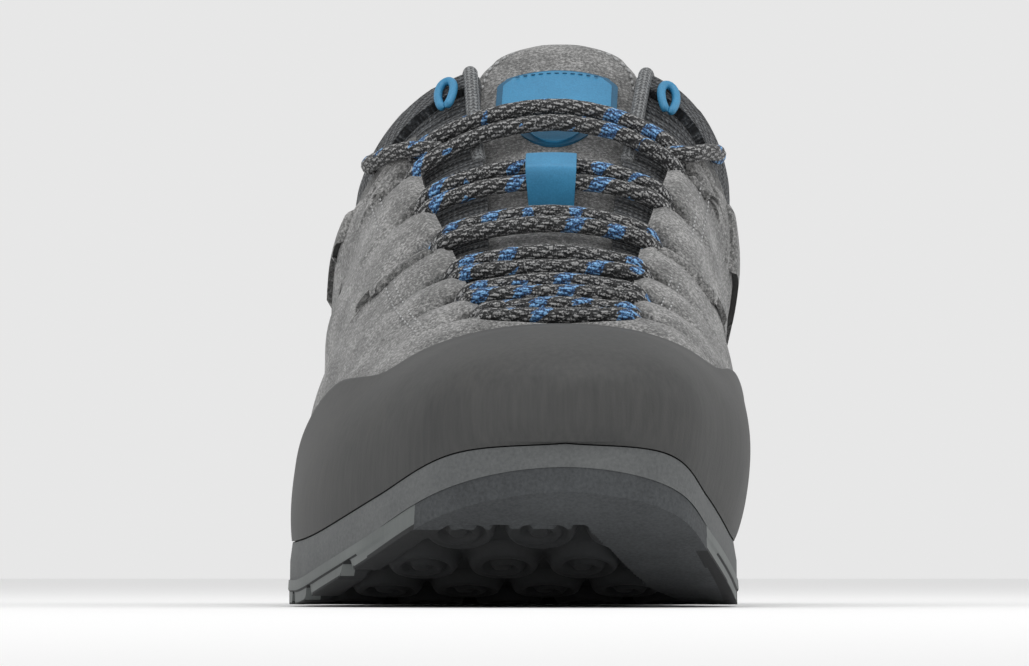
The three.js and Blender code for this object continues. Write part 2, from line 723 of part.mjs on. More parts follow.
// Strand that leaves the top lobe and drops over the edge of the suede
function laceSideSolid(name) {
  const top = laceRows[laceRows.length - 1];
  const points = sideStrand.map((row) => (
    instepPoint(top + row.on / lastLength, sides[name] * row[name] * lastWidth, row.off)));
  return cordSolid(points, laceRadius, 8);
}

// Strand across the slot in the heel band, through the pull loop
function laceHeelSolid() {
  const reach = heelNotchHalf - seamGap;
  const y = heelBack + heelStrandBack;
  const points = [-1, -0.5, 0, 0.5, 1].map((across) => (
    new THREE.Vector3(heelX + across * reach, y - heelStrandBow * across * across, pullBottom + pullWall + laceRadius + heelStrandRise)));
  return cordSolid(points, laceRadius, 5);
}

// Webbing folded into a flat loop that stands up behind the cuff
function pullSolid() {
  const gap = laceRadius * 2 + 2 * seamGap;
  const middle = heelBack + heelStrandBack;
  const ring = (grow) => {
    const radius = gap / 2 + grow;
    const shape = new THREE.Shape();
    shape.absarc(middle, pullTop - pullWall - gap / 2, radius, 0, Math.PI, false);
    shape.absarc(middle, pullBottom + pullWall + gap / 2, radius, Math.PI, 2 * Math.PI, false);
    const geometry = new THREE.ExtrudeGeometry(shape, { depth: pullWidth, bevelEnabled: false, curveSegments: 6 });
    geometry.applyMatrix4(alongYUpZ);
    geometry.translate(heelX - pullWidth / 2, 0, 0);
    return geometry;
  };
  const hole = ring(0);
  hole.translate(-heelX, 0, 0);
  hole.scale(2, 1, 1);
  hole.translate(heelX, 0, 0);
  return solidFrom(ring(pullWall)).subtract(solidFrom(hole));
}

// Label sewn on the front of the tongue, near its top
function labelSolid() {
  return layer(outside.tongue + seamGap + labelWall, labelWall).intersect(overInstep(crownPatch(labelSpan, labelHalf)));
}

// Strap that holds the lace down on the tongue: a band over the row, with a foot at each end
function keeperSolid() {
  const [from, to] = keeperSpan;
  const top = outside.facing + laceLift + 2 * laceRadius + keeperRise;
  const foot = keeperFoot / lastLength;
  const band = layer(top, keeperWall).intersect(overInstep(crownPatch([from, to], keeperHalf)));
  const legs = [[from, from + foot], [to - foot, to]].map((span) => (
    layer(top, top - outside.tongue - seamGap).intersect(overInstep(crownPatch(span, keeperHalf)))));
  return wasm.Manifold.union([band, ...legs]);
}

// Loop of thin cord at a front corner of the cuff
function loopSolid(side) {
  const away = side * loopAway * lastWidth;
  const root = instepPoint(loopAt, away, outside.cuff + loopRadius + seamGap);
  const up = instepPoint(loopAt + loopProbe, away, 0).sub(instepPoint(loopAt, away, 0)).normalize();
  const out = formNormal(stationOf(loopAt), turnAt(stationOf(loopAt), away));
  const wide = new THREE.Vector3().crossVectors(up, out).normalize();
  const points = [];
  for (let i = 0; i <= loopSteps; i += 1) {
    const angle = Math.PI * (loopOpening + 2 * (1 - loopOpening) * i / loopSteps);
    points.push(root.clone()
      .addScaledVector(up, loopHeight * (1 - Math.cos(angle)) / 2)
      .addScaledVector(wide, loopWidth * Math.sin(angle) / 2));
  }
  return cordSolid(points, loopRadius, 12, loopFaces);
}

const pieces = {
  outsole: [outsoleSolid(), paint.outsole],
  midsole: [midsoleSolid(), paint.midsole],
  insole: [insoleSolid(), paint.insole],
  upper: [upperSolid(), paint.suede],
  cuff: [cuffSolid(), paint.knit],
  tongue: [tongueSolid(), paint.suede],
  tongue_label: [labelSolid(), paint.accent],
  lace_keeper: [keeperSolid(), paint.accent],
  toe_rand: [randSolid(), paint.rand],
  heel_cup: [cupSolid(), paint.rand],
  heel_sling: [slingSolid(), paint.rand],
  heel_strip: [stripSolid(), paint.rand],
  lace_heel: [laceHeelSolid(), paint.lace],
  pull_loop: [pullSolid(), paint.webbing],
};
laceRows.forEach((at, i) => {
  pieces[`lace_row_${i + 1}`] = [laceRowSolid(at), paint.lace];
});
Object.entries(sides).forEach(([name, side]) => {
  pieces[`eyestay_${name}`] = [eyestaySolid(name), paint.suede];
  pieces[`heel_accent_${name}`] = [accentSolid(side), paint.accent];
  pieces[`lace_side_${name}`] = [laceSideSolid(name), paint.lace];
  pieces[`lace_loop_${name}`] = [loopSolid(side), paint.accent];
});

// A named mesh from a solid, with edges that are too short to matter folded away
function meshOf(name, solid, [color, roughness]) {
  const { vertProperties, triVerts, numProp } = solid.simplify(shortestEdge).getMesh();
  const position = new Float32Array(vertProperties.length / numProp * 3);
  for (let i = 0; i < position.length / 3; i += 1) {
    position.set(vertProperties.subarray(i * numProp, i * numProp + 3), i * 3);
  }
  const geometry = new THREE.BufferGeometry();
  geometry.setAttribute('position', new THREE.BufferAttribute(position, 3));
  geometry.setIndex(new THREE.BufferAttribute(new Uint32Array(triVerts), 1));
  geometry.computeVertexNormals();
  const mesh = new THREE.Mesh(geometry, new THREE.MeshStandardMaterial({ color, roughness, metalness: 0 }));
  mesh.name = name;
  return mesh;
}

const shoe = new THREE.Group();
Object.entries(pieces).forEach(([name, [solid, finish]]) => shoe.add(meshOf(name, solid, finish)));

export default shoe;
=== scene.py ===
# The dressed approach shoe: suede, rubber, knit, braid and foam over the CAD solids.
# Sizes are in millimetres on the shoe's own form and become metres when a mesh is made.

import math

import bmesh
import bpy
import numpy as np
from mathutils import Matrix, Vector


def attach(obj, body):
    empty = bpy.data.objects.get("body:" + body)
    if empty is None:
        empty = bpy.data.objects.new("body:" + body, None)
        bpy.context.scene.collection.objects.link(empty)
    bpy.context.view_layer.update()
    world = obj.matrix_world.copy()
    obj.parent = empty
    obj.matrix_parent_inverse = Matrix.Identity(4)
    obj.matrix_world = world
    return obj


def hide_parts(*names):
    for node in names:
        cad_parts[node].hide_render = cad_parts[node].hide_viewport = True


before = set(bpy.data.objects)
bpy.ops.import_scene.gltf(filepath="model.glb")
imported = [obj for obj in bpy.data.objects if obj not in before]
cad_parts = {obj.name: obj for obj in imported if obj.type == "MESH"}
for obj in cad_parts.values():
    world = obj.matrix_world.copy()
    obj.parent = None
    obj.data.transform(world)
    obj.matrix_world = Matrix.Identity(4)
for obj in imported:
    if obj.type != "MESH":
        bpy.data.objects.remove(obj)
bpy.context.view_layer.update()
MM = 0.001
SIDES = {"lateral": -1, "medial": 1}

# ---------------------------------------------------------------- the form, as in the part's source
LENGTH, WIDTH, INSTEP, HEEL = 284.0, 98.0, 155.0, 18.0
HEEL_BACK = 34.0
TOE_Y = HEEL_BACK - LENGTH
TOE_SET_BACK, HEEL_TUCK, HEEL_LEAN = 2.5, 1.5, 12.0
TOE_ZONE, HEEL_ZONE = 0.2, 0.22
SHOULDER, FULLNESS = 0.72, 0.05
# at, lateral, medial, feather, widest, crown, crown x, flare
SECTIONS = [
    (0.000, 0.153, 0.153, 2.00, 0.265, 0.297, 0.153, 0.02),
    (0.025, -0.090, 0.365, 1.88, 0.277, 0.350, 0.153, 0.02),
    (0.100, -0.270, 0.448, 1.36, 0.226, 0.388, 0.140, 0.03),
    (0.200, -0.420, 0.492, 0.92, 0.184, 0.406, 0.120, 0.035),
    (0.350, -0.505, 0.485, 0.81, 0.170, 0.540, 0.085, 0.03),
    (0.500, -0.469, 0.367, 0.96, 0.370, 0.710, 0.077, 0.13),
    (0.650, -0.393, 0.321, 1.08, 0.550, 0.905, 0.080, 0.30),
    (0.800, -0.342, 0.357, 1.03, 0.510, 0.985, 0.071, 0.20),
    (0.910, -0.296, 0.337, 1.00, 0.426, 1.000, 0.051, 0.15),
    (0.980, -0.148, 0.204, 1.00, 0.387, 0.968, 0.036, 0.14),
    (1.000, 0.031, 0.031, 1.00, 0.374, 0.942, 0.031, 0.14),
]

# Lines on the side of the shoe: share of the length, share of the instep height
SUEDE_TOP = [(0.545, 0.80), (0.575, 0.70), (0.60, 0.63), (0.65, 0.545), (0.71, 0.49), (0.79, 0.465),
             (0.86, 0.505), (0.92, 0.58), (0.97, 0.635), (1.06, 0.645)]
CUFF_TOP = [(0.585, 0.97), (0.61, 0.82), (0.64, 0.725), (0.68, 0.66), (0.74, 0.615), (0.81, 0.62),
            (0.88, 0.67), (0.95, 0.73), (1.06, 0.745)]
RAND_TOP = {
    "lateral": [(0.183, 0.75), (0.188, 0.40), (0.24, 0.36), (0.34, 0.295), (0.41, 0.205), (0.45, 0.09)],
    "medial": [(0.183, 0.75), (0.188, 0.40), (0.24, 0.365), (0.32, 0.335), (0.41, 0.265), (0.50, 0.09)],
}
SLING_BACK = [(0.86, 0.475), (0.96, 0.555), (1.06, 0.565)]
SLING_TOP = {
    "lateral": [(0.465, 0.09), (0.50, 0.16), (0.60, 0.235), (0.74, 0.35)] + SLING_BACK,
    "medial": [(0.515, 0.09), (0.54, 0.17), (0.62, 0.25), (0.74, 0.36)] + SLING_BACK,
}
SLING_LOW = [(0.63, 0.09), (0.66, 0.16), (0.74, 0.25), (0.86, 0.385), (0.96, 0.46), (1.06, 0.47)]
SLING_FOOT = {"lateral": [(0.465, 0.089)] + SLING_LOW, "medial": [(0.515, 0.089)] + SLING_LOW}
CUP_TOP = [(0.67, 0.09), (0.71, 0.145), (0.79, 0.19), (0.88, 0.255), (0.97, 0.34), (1.06, 0.365)]
ACCENT_TOP = [(0.85, 0.365), (0.90, 0.412), (0.96, 0.448), (1.06, 0.461)]
ACCENT_FOOT = [(0.85, 0.35), (0.90, 0.362), (0.96, 0.39), (1.06, 0.404)]

# Outlines over the instep: share of the length, half as a share of the width
LOBE_LINE = [(0.21, 0.15), (0.25, 0.18), (0.34, 0.213), (0.45, 0.262), (0.53, 0.298), (0.60, 0.31)]
OUTER_SPREAD = [(0.24, 0.0), (0.32, 1.2), (0.39, 2.2), (0.45, 3.6), (0.53, 4.0)]
FACING_LINE = [(0.203, 0.125), (0.29, 0.15), (0.46, 0.165), (0.53, 0.19), (0.58, 0.20), (0.68, 0.215)]
TONGUE_LINE = [(0.218, 0.16), (0.28, 0.20), (0.40, 0.225), (0.52, 0.235), (0.60, 0.23), (0.632, 0.19),
               (0.647, 0.12), (0.652, 0.04)]
LACE_ROWS = [0.236, 0.276, 0.320, 0.381, 0.448, 0.515]
SLIT_ROW = 3
HEEL_X = 0.031 * WIDTH

# Outer faces of the layers off the form
RAND_OUT, ACCENT_OUT, STRIP_OUT = 2.1, 1.7, 4.0
FACING_OUT, CUFF_OUT, TONGUE_OUT, LINING_OUT, QUARTER_OUT = -2.3, -0.8, -5.7, -4.3, -0.2
# Radius of the lace, and the length of one turn of its braid in radii
CORD, BRAID_LAY = 1.9, 5.2

# Sole: at, reach of the foam's side, reach of the rubber on the floor, in shares of the heel height
SOLE_REACH = [(0.00, 0.10, 0.14), (0.20, 0.13, 0.17), (0.35, 0.11, 0.15), (0.50, 0.14, 0.20),
              (0.65, 0.18, 0.26), (0.80, 0.20, 0.32), (0.91, 0.20, 0.33), (1.00, 0.18, 0.31)]
OUTSOLE_WALL = 5.6


def station_of(at):
    return np.arccos(1 - 2 * np.clip(at, 0, 1)) / math.pi


def share_of(station):
    return (1 - np.cos(math.pi * np.asarray(station, float))) / 2


def step(value, low, high):
    """Smooth step from 0 at low to 1 at high."""
    f = np.clip((np.asarray(value, float) - low) / (high - low), 0, 1)
    return f * f * (3 - 2 * f)


def follow(rows, at, column=1, scale=lambda value: value):
    """Smooth value of a column between the rows of a table."""
    knots = scale(np.array([row[0] for row in rows], float))
    values = np.array([row[column] for row in rows], float)
    span = np.diff(knots)
    slope = np.diff(values) / span
    tangent = np.empty_like(values)
    tangent[0], tangent[-1] = slope[0], slope[-1]
    tangent[1:-1] = (slope[:-1] * span[1:] + slope[1:] * span[:-1]) / (span[:-1] + span[1:])
    where = np.clip(scale(np.asarray(at, float)), knots[0], knots[-1])
    i = np.clip(np.searchsorted(knots, where, side="right") - 1, 0, len(knots) - 2)
    f = (where - knots[i]) / span[i]
    g = 1 - f
    ends = values[i] * (1 + 2 * f) * g * g + values[i + 1] * f * f * (3 - 2 * f)
    return ends + span[i] * (tangent[i] * f * g * g - tangent[i + 1] * f * f * g)


def section(column, station):
    return follow(SECTIONS, share_of(station), column, station_of)


def crown_x(at):
    return section(6, station_of(at)) * WIDTH


def feather(station):
    return section(3, station) * HEEL


def form_point(station, turn):
    """Points of the form. turn runs from -1 at the outer feather line over 0 at the crown to 1."""
    station, turn = np.broadcast_arrays(np.asarray(station, float), np.asarray(turn, float))
    lateral, medial = section(1, station) * WIDTH, section(2, station) * WIDTH
    half, base = (medial - lateral) / 2, (medial + lateral) / 2
    low, widest, crown = feather(station), section(4, station) * INSTEP, section(5, station) * INSTEP
    swell, down = section(7, station), np.abs(turn)
    drop = np.clip((down - SHOULDER) / (1 - SHOULDER), 0, 1)
    rise = np.clip(1 - down / SHOULDER, 0, 1) * math.pi / 2
    full = 1 + FULLNESS * np.sin(2 * rise) ** 2
    under = down > SHOULDER
    reach = half * np.where(under, 1 + swell * (1 - drop * drop), (1 + swell) * np.cos(rise) * full)
    height = np.where(under, widest - (widest - low) * drop, widest + (crown - widest) * np.sin(rise) * full)
    back = np.where(under, drop * drop, 0)
    lean = np.where(under, 0, np.sin(rise) ** 2)
    shift = (section(6, station) * WIDTH - base) * (height - low) / (crown - low)
    y = (TOE_Y + LENGTH * share_of(station) + step(TOE_ZONE - station, 0, TOE_ZONE) * TOE_SET_BACK * back
         - step(station, 1 - HEEL_ZONE, 1) * (HEEL_TUCK * back + HEEL_LEAN * lean))
    return np.stack([base + shift + np.sign(turn) * reach, y, height], axis=-1)


def unit(vectors):
    return vectors / np.maximum(np.linalg.norm(vectors, axis=-1, keepdims=True), 1e-9)


def form_normal(station, turn):
    station, turn = np.broadcast_arrays(np.asarray(station, float), np.asarray(turn, float))
    gap = 1e-4
    middle = np.clip(station, gap, 1 - gap)

    def direction(way):
        along = form_point(middle + gap, way) - form_point(middle - gap, way)
        across = form_point(middle, way + gap) - form_point(middle, way - gap)
        return unit(np.cross(across, along))
    normal = direction(turn)
    closing = (middle != station)[..., None]
    normal = np.where(closing, normal + direction(-turn), normal)
    normal[..., 2] *= 1 - step(np.abs(turn), 0.9, 1.0)
    return unit(normal)


def skin(station, turn, grow=0.0):
    return form_point(station, turn) + form_normal(station, turn) * np.asarray(grow, float)[..., None]


def share_at(points):
    """Share of the length at points."""
    return (points[..., 1] - TOE_Y) / LENGTH


def halve(low, high, before, times=26):
    """The place between low and high up to which before(place) is true."""
    for _ in range(times):
        middle = (low + high) / 2
        ahead = before(middle)
        low, high = np.where(ahead, middle, low), np.where(ahead, high, middle)
    return low


def turn_away(station, away):
    """Turn at a sideways distance from the crown."""
    station, away = np.broadcast_arrays(np.asarray(station, float), np.asarray(away, float))
    crown = section(6, station) * WIDTH
    side = np.where(away < 0, -1.0, 1.0)

    def nearer(turn):
        return np.abs(form_point(station, side * turn)[..., 0] - crown) < np.abs(away)
    return side * halve(np.zeros_like(away), np.full_like(away, SHOULDER), nearer)


def turn_high(station, side, height):
    """Turn on one side where the form has a height."""
    station, height = np.broadcast_arrays(np.asarray(station, float), np.asarray(height, float))

    def above(turn):
        return form_point(station, side * turn)[..., 2] > height
    return side * halve(np.zeros_like(height), np.ones_like(height), above)


def turn_on(line, station, side):
    """Turn on one side where the form meets a line drawn on the side of the shoe."""
    station = np.asarray(station, float)
    at = share_of(station)
    for _ in range(6):
        turn = turn_high(station, side, follow(line, at) * INSTEP)
        at = share_at(form_point(station, turn))
    return turn


def over(at, away, grow=0.0):
    """Points over the instep: share of the length, distance from the crown, height off the form."""
    station = station_of(at)
    return skin(station, turn_away(station, away), grow)


# ---------------------------------------------------------------- making meshes
def bent_grid(bm, columns, rows, surface, ring=False):
    """Adds a grid bent over surface(u, v), which gives points and outward directions, with a UV map in metres."""
    made = bmesh.ops.create_grid(bm, x_segments=columns, y_segments=rows, size=1)["verts"]
    flat = np.array([vert.co[:2] for vert in made])
    flat = (flat - flat.min(axis=0)) / (flat.max(axis=0) - flat.min(axis=0))
    order = np.lexsort((flat[:, 0], flat[:, 1]))
    u, v = flat[order, 0], flat[order, 1]
    wide = len(np.unique(u.round(6)))
    points, outward = surface(u, v)
    points = points * MM
    net = points.reshape(-1, wide, 3)
    along = np.zeros(net.shape[:2])
    across = np.zeros(net.shape[:2])
    along[:, 1:] = np.cumsum(np.linalg.norm(np.diff(net, axis=1), axis=2), axis=1)
    across[1:] = np.cumsum(np.linalg.norm(np.diff(net, axis=0), axis=2), axis=0)
    if not ring:
        along -= along[:, wide // 2: wide // 2 + 1]
    uv = dict()
    for i, place in enumerate(order):
        made[place].co = points[i]
        uv[made[place]] = (along.flat[i], across.flat[i])
    layer = bm.loops.layers.uv.verify()
    faces = list({face for vert in made for face in vert.link_faces})
    for face in faces:
        face.normal_update()
        for loop in face.loops:
            loop[layer].uv = uv[loop.vert]
    facing = {made[place]: Vector(outward[i]) for i, place in enumerate(order)}
    sample = faces[:: max(1, len(faces) // 200)]
    if sum(face.normal.dot(facing[face.verts[0]]) for face in sample) < 0:
        bmesh.ops.reverse_faces(bm, faces=faces)
    return made


def place_object(name, data):
    made = bpy.data.objects.new(name, data)
    bpy.context.scene.collection.objects.link(made)
    return made


def piece(name, bm, finish, wall=0.0, rim=0.0, stands_for=(), slot=None, merge=0.02):
    """Makes a named piece of a mesh, with its wall on the inner side and its rims rounded."""
    bmesh.ops.remove_doubles(bm, verts=bm.verts, dist=merge * MM)
    mesh = bpy.data.meshes.new(name)
    bm.to_mesh(mesh)
    bm.free()
    mesh.polygons.foreach_set("use_smooth", [True] * len(mesh.polygons))
    mesh.materials.append(finish)
    made = place_object(name, mesh)
    if wall:
        solid = made.modifiers.new("wall", "SOLIDIFY")
        solid.thickness, solid.offset, solid.use_even_offset = wall * MM, -1, False
    if rim:
        bevel = made.modifiers.new("rim", "BEVEL")
        bevel.width, bevel.segments, bevel.limit_method = rim * MM, 3, "ANGLE"
        bevel.angle_limit, bevel.harden_normals = math.radians(50), True
    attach(made, "root")
    if stands_for:
        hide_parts(*stands_for)
    return made


def sheet(name, columns, rows, surface, *given):
    """Makes a piece of one bent grid; the values given are those of piece."""
    bm = bmesh.new()
    bent_grid(bm, columns, rows, surface)
    return piece(name, bm, *given)


def on_form(place, grow=0.0):
    """Surface on the form: place(u, v) gives station and turn, grow a height or a function of u, v, station, turn."""
    def surface(u, v):
        station, turn = place(u, v)
        height = grow(u, v, station, turn) if callable(grow) else np.full(u.shape, float(grow))
        return skin(station, turn, height), form_normal(station, turn)
    return surface


def smooth_path(points, count):
    """Even points on a smooth curve through a few."""
    knots = np.asarray(points, float)
    ends = np.vstack([2 * knots[0] - knots[1], knots, 2 * knots[-1] - knots[-2]])
    fine = []
    for a, b, c, d in zip(ends, ends[1:], ends[2:], ends[3:]):
        for t in np.linspace(0, 1, 24, endpoint=False):
            fine.append(0.5 * (2 * b + (c - a) * t + (2 * a - 5 * b + 4 * c - d) * t * t
                               + (3 * b - a - 3 * c + d) * t ** 3))
    fine = np.array(fine + [knots[-1]])
    run = np.concatenate([[0], np.cumsum(np.linalg.norm(np.diff(fine, axis=0), axis=1))])
    even = np.linspace(0, run[-1], count)
    return np.stack([np.interp(even, run, fine[:, i]) for i in range(3)], axis=1)


def frames_along(path):
    """Direction and two square sides at each point of a path, without twist."""
    ahead = unit(np.gradient(path, axis=0))
    side = np.zeros_like(path)
    first = np.cross(ahead[0], (0, 0, 1) if abs(ahead[0][2]) < 0.9 else (1, 0, 0))
    side[0] = first / np.linalg.norm(first)
    for i in range(1, len(path)):
        turned = side[i - 1] - ahead[i] * np.dot(side[i - 1], ahead[i])
        side[i] = turned / np.linalg.norm(turned)
    return ahead, side, np.cross(ahead, side)


def cord(bm, points, radius, pitch=0.7, around=20, plait=0.0):
    """Adds a round cord through points, with the ridges of its braid, closed at its ends."""
    rough = smooth_path(points, 60)
    length = np.linalg.norm(np.diff(rough, axis=0), axis=1).sum()
    rows = max(6, int(length / pitch))
    path = smooth_path(points, rows + 1)
    ahead, side, up = frames_along(path)

    def surface(u, v):
        row = np.rint(v * rows).astype(int)
        angle = 2 * math.pi * u
        run = v * length
        lay = 2 * math.pi * run / (radius * BRAID_LAY)
        ridge = plait * np.abs(np.cos(4 * angle + lay)) * 0.5 + plait * np.abs(np.cos(4 * angle - lay)) * 0.5
        past = (np.abs(2 * v - 1) * length / 2 - (length / 2 - radius)).clip(0)
        tip = np.sqrt(np.clip(1 - past ** 2 / radius ** 2, 0.0009, 1))
        out = side[row] * np.cos(angle)[:, None] + up[row] * np.sin(angle)[:, None]
        return path[row] + out * ((radius - plait * 0.4 + ridge) * tip)[:, None], out
    return bent_grid(bm, around, rows, surface, ring=True)


def stitches(bm, points, normals, pitch, length, thick):
    """Adds a row of stitches along a path, each a small bent bead half sunk into what it holds."""
    run = np.concatenate([[0], np.cumsum(np.linalg.norm(np.diff(points, axis=0), axis=1))])
    for k in range(int(run[-1] / pitch)):
        middle = (k + 0.5) * pitch
        here = np.array([np.interp(middle, run, points[:, i]) for i in range(3)])
        ends = [np.array([np.interp(middle + way, run, points[:, i]) for i in range(3)]) for way in (-0.5, 0.5)]
        ahead = unit(ends[1] - ends[0])
        out = unit(np.array([np.interp(middle, run, normals[:, i]) for i in range(3)]))
        side = np.cross(ahead, out)
        bead = bmesh.ops.create_icosphere(bm, subdivisions=1, radius=1)["verts"]
        for vert in bead:
            x, y, z = vert.co
            spot = here + ahead * x * length / 2 + side * y * thick + out * (z * thick + 0.12)
            vert.co = spot * MM


def sew(bm, station, turn, height, *sizes):
    """Adds stitches along a line on the form, at a height off it."""
    stitches(bm, skin(station, turn, height), form_normal(station, turn), *sizes)


# ---------------------------------------------------------------- materials
def colour(code):
    """Linear colour of an sRGB hex value."""
    parts = [int(code[i:i + 2], 16) / 255 for i in (1, 3, 5)]
    return tuple(c / 12.92 if c <= 0.04045 else ((c + 0.055) / 1.055) ** 2.4 for c in parts) + (1.0,)


def node(tree, kind, inputs=(), out=0, stops=(), **settings):
    """Adds a shader node with its settings and links, and returns one of its outputs.

    An input is a value or another node's output. Stops give the places and sRGB hex values of a colour ramp."""
    made = tree.nodes.new("ShaderNode" + kind)
    for key, value in settings.items():
        setattr(made, key, value)
    for key, value in inputs.items() if isinstance(inputs, dict) else enumerate(inputs):
        if isinstance(value, bpy.types.NodeSocket):
            tree.links.new(value, made.inputs[key])
        else:
            made.inputs[key].default_value = value
    for i, (place, code) in enumerate(stops):
        elements = made.color_ramp.elements
        element = elements[i] if i < len(elements) else elements.new(place)
        element.position, element.color = place, colour(code)
    return made.outputs[out]


def material(name, **settings):
    """A material with its node tree and shader, and values for the shader's inputs."""
    made = bpy.data.materials.new(name)
    made.use_nodes = True
    tree = made.node_tree
    shader = tree.nodes["Principled BSDF"]
    for key, value in settings.items():
        shader.inputs[key.replace("_", " ").title().replace("Ior", "IOR")].default_value = value
    return made, tree, shader


def grain(tree, size, detail=2.0, rough=0.5, stretch=(1, 1, 1)):
    """Noise whose features have a size in millimetres, on the piece's own coordinates."""
    placed = node(tree, "Mapping", {"Vector": node(tree, "TexCoord", out="Object"),
                                    "Scale": tuple(1 / (size * MM * s) for s in stretch)})
    return node(tree, "TexNoise", {"Vector": placed, "Scale": 1.0, "Detail": detail, "Roughness": rough}, "Fac")


def paint(tree, shader, tone, stops):
    tree.links.new(node(tree, "ValToRGB", [tone], stops=stops), shader.inputs["Base Color"])


def relief(tree, shader, height, depth, strength):
    """Bump of a depth in millimetres."""
    bumps = node(tree, "Bump", {"Height": height, "Distance": depth * MM, "Strength": strength})
    tree.links.new(bumps, shader.inputs["Normal"])


def unrolled(tree):
    """Metres across and along a piece, from its UV map."""
    across = node(tree, "SeparateXYZ", [node(tree, "UVMap")])
    return across, across.node.outputs["Y"]


def waves(tree, run, pitch):
    """Sine of a run in metres, with a pitch in millimetres."""
    turns = node(tree, "Math", [run, 2 * math.pi / (pitch * MM)], operation="MULTIPLY")
    return node(tree, "Math", [turns], operation="SINE")


def blend(tree, first, share, second, other):
    """Sum of two patterns, each times its share."""
    rest = node(tree, "Math", [second, other], operation="MULTIPLY")
    return node(tree, "Math", [first, share, rest], operation="MULTIPLY_ADD")


def split_suede(name, dark, base, light):
    """Split suede, brushed: no gloss, a soft nap that catches light at grazing angles, and mottled fibres."""
    made, tree, shader = material(name, roughness=0.95, sheen_weight=0.25, sheen_roughness=0.6,
                                  specular_ior_level=0.2)
    mottle = grain(tree, 9, 3)
    fibre = grain(tree, 0.7, 4, 0.75)
    mixed = blend(tree, fibre, 0.8, mottle, 0.25)
    paint(tree, shader, mixed, [(0.38, dark), (0.52, base), (0.66, light)])
    relief(tree, shader, blend(tree, fibre, 1.0, mottle, 1.5), 0.35, 0.7)
    return made


def moulded_rubber(name, dark, base, rough=0.62, streak=0.5):
    """Moulded rubber, buffed before bonding: dull, with faint upright streaks and a fine grain."""
    made, tree, shader = material(name, roughness=rough)
    streaks = grain(tree, 1.3, 3, 0.6, stretch=(1, 1, 14))
    clouds = grain(tree, 22, 2)
    mixed = blend(tree, streaks, streak, clouds, 1 - streak)
    paint(tree, shader, mixed, [(0.32, dark), (0.7, base)])
    dulled = node(tree, "Math", [clouds, 0.12, rough - 0.06], operation="MULTIPLY_ADD")
    tree.links.new(dulled, shader.inputs["Roughness"])
    relief(tree, shader, blend(tree, streaks, 0.4, grain(tree, 0.5, 2), 1.0), 0.08, 0.5)
    return made


def foam(name, dark, base):
    """Compression-moulded EVA foam: matt, with a fine closed-cell grain."""
    made, tree, shader = material(name, roughness=0.85)
    cells = grain(tree, 0.8, 3, 0.6)
    mixed = blend(tree, cells, 0.6, grain(tree, 14, 2), 0.4)
    paint(tree, shader, mixed, [(0.3, dark), (0.7, base)])
    relief(tree, shader, cells, 0.15, 0.6)
    return made


def knit_fabric(name, dark, light, rib=1.6, loop=1.3):
    """Warp-knit polyester: upright ribs of small loops, dark with pale filaments that sparkle a little."""
    made, tree, shader = material(name, roughness=0.9, sheen_weight=0.15)
    across, along = unrolled(tree)
    wale = waves(tree, across, rib)
    course = node(tree, "Math", [blend(tree, along, 2 * math.pi / (loop * MM), wale, 1.2)], operation="SINE")
    height = blend(tree, wale, 0.5, course, 0.35)
    speck = grain(tree, 0.7, 2, 0.7)
    tone = node(tree, "Math", [height, 0.22, speck], operation="MULTIPLY_ADD")
    paint(tree, shader, tone, [(0.42, dark), (0.62, light), (0.8, "#7d8082")])
    relief(tree, shader, height, 0.5, 0.8)
    return made


def round_braid():
    """Braided polyester cord: black carriers with pale flecks, and stretches with two blue carriers."""
    made, tree, shader = material("braided_polyester", roughness=0.7, sheen_weight=0.1)
    across, along = unrolled(tree)
    turn = node(tree, "Math", [across, 1 / (CORD * MM)], operation="MULTIPLY")
    lay = node(tree, "Math", [along, 2 * math.pi / (BRAID_LAY * CORD * MM)], operation="MULTIPLY")
    left, right = (node(tree, "Math", [blend(tree, turn, 4.0, lay, way)], operation="SINE") for way in (1.0, -1.0))
    height = node(tree, "Math", [node(tree, "Math", [left, right], operation="MULTIPLY")], operation="ABSOLUTE")
    fleck = grain(tree, 0.46, 1, 0.6)
    tone = blend(tree, height, 0.25, fleck, 0.9)
    dark = node(tree, "ValToRGB", [tone], stops=[(0.44, "#0c0d0e"), (0.58, "#232426"), (0.68, "#9a9a9a")])
    # The pale top stop of the blue ramp is a painted highlight on the blue carriers.
    blue = node(tree, "ValToRGB", [tone], stops=[(0.42, "#0e1d30"), (0.56, "#28568a"), (0.70, "#7db0dc")])
    around = node(tree, "Math", [blend(tree, turn, 2.0, lay, 1.0)], operation="SINE")
    carrier = node(tree, "Math", [around, 0.35], operation="GREATER_THAN")
    stretch = node(tree, "Math", [grain(tree, 11, 0), 0.53], operation="GREATER_THAN")
    chosen = node(tree, "Math", [carrier, stretch], operation="MULTIPLY")
    mixed = node(tree, "Mix", {"Factor": chosen, "A": dark, "B": blue}, 2, data_type="RGBA")
    tree.links.new(mixed, shader.inputs["Base Color"])
    relief(tree, shader, height, 0.4, 0.8)
    return made


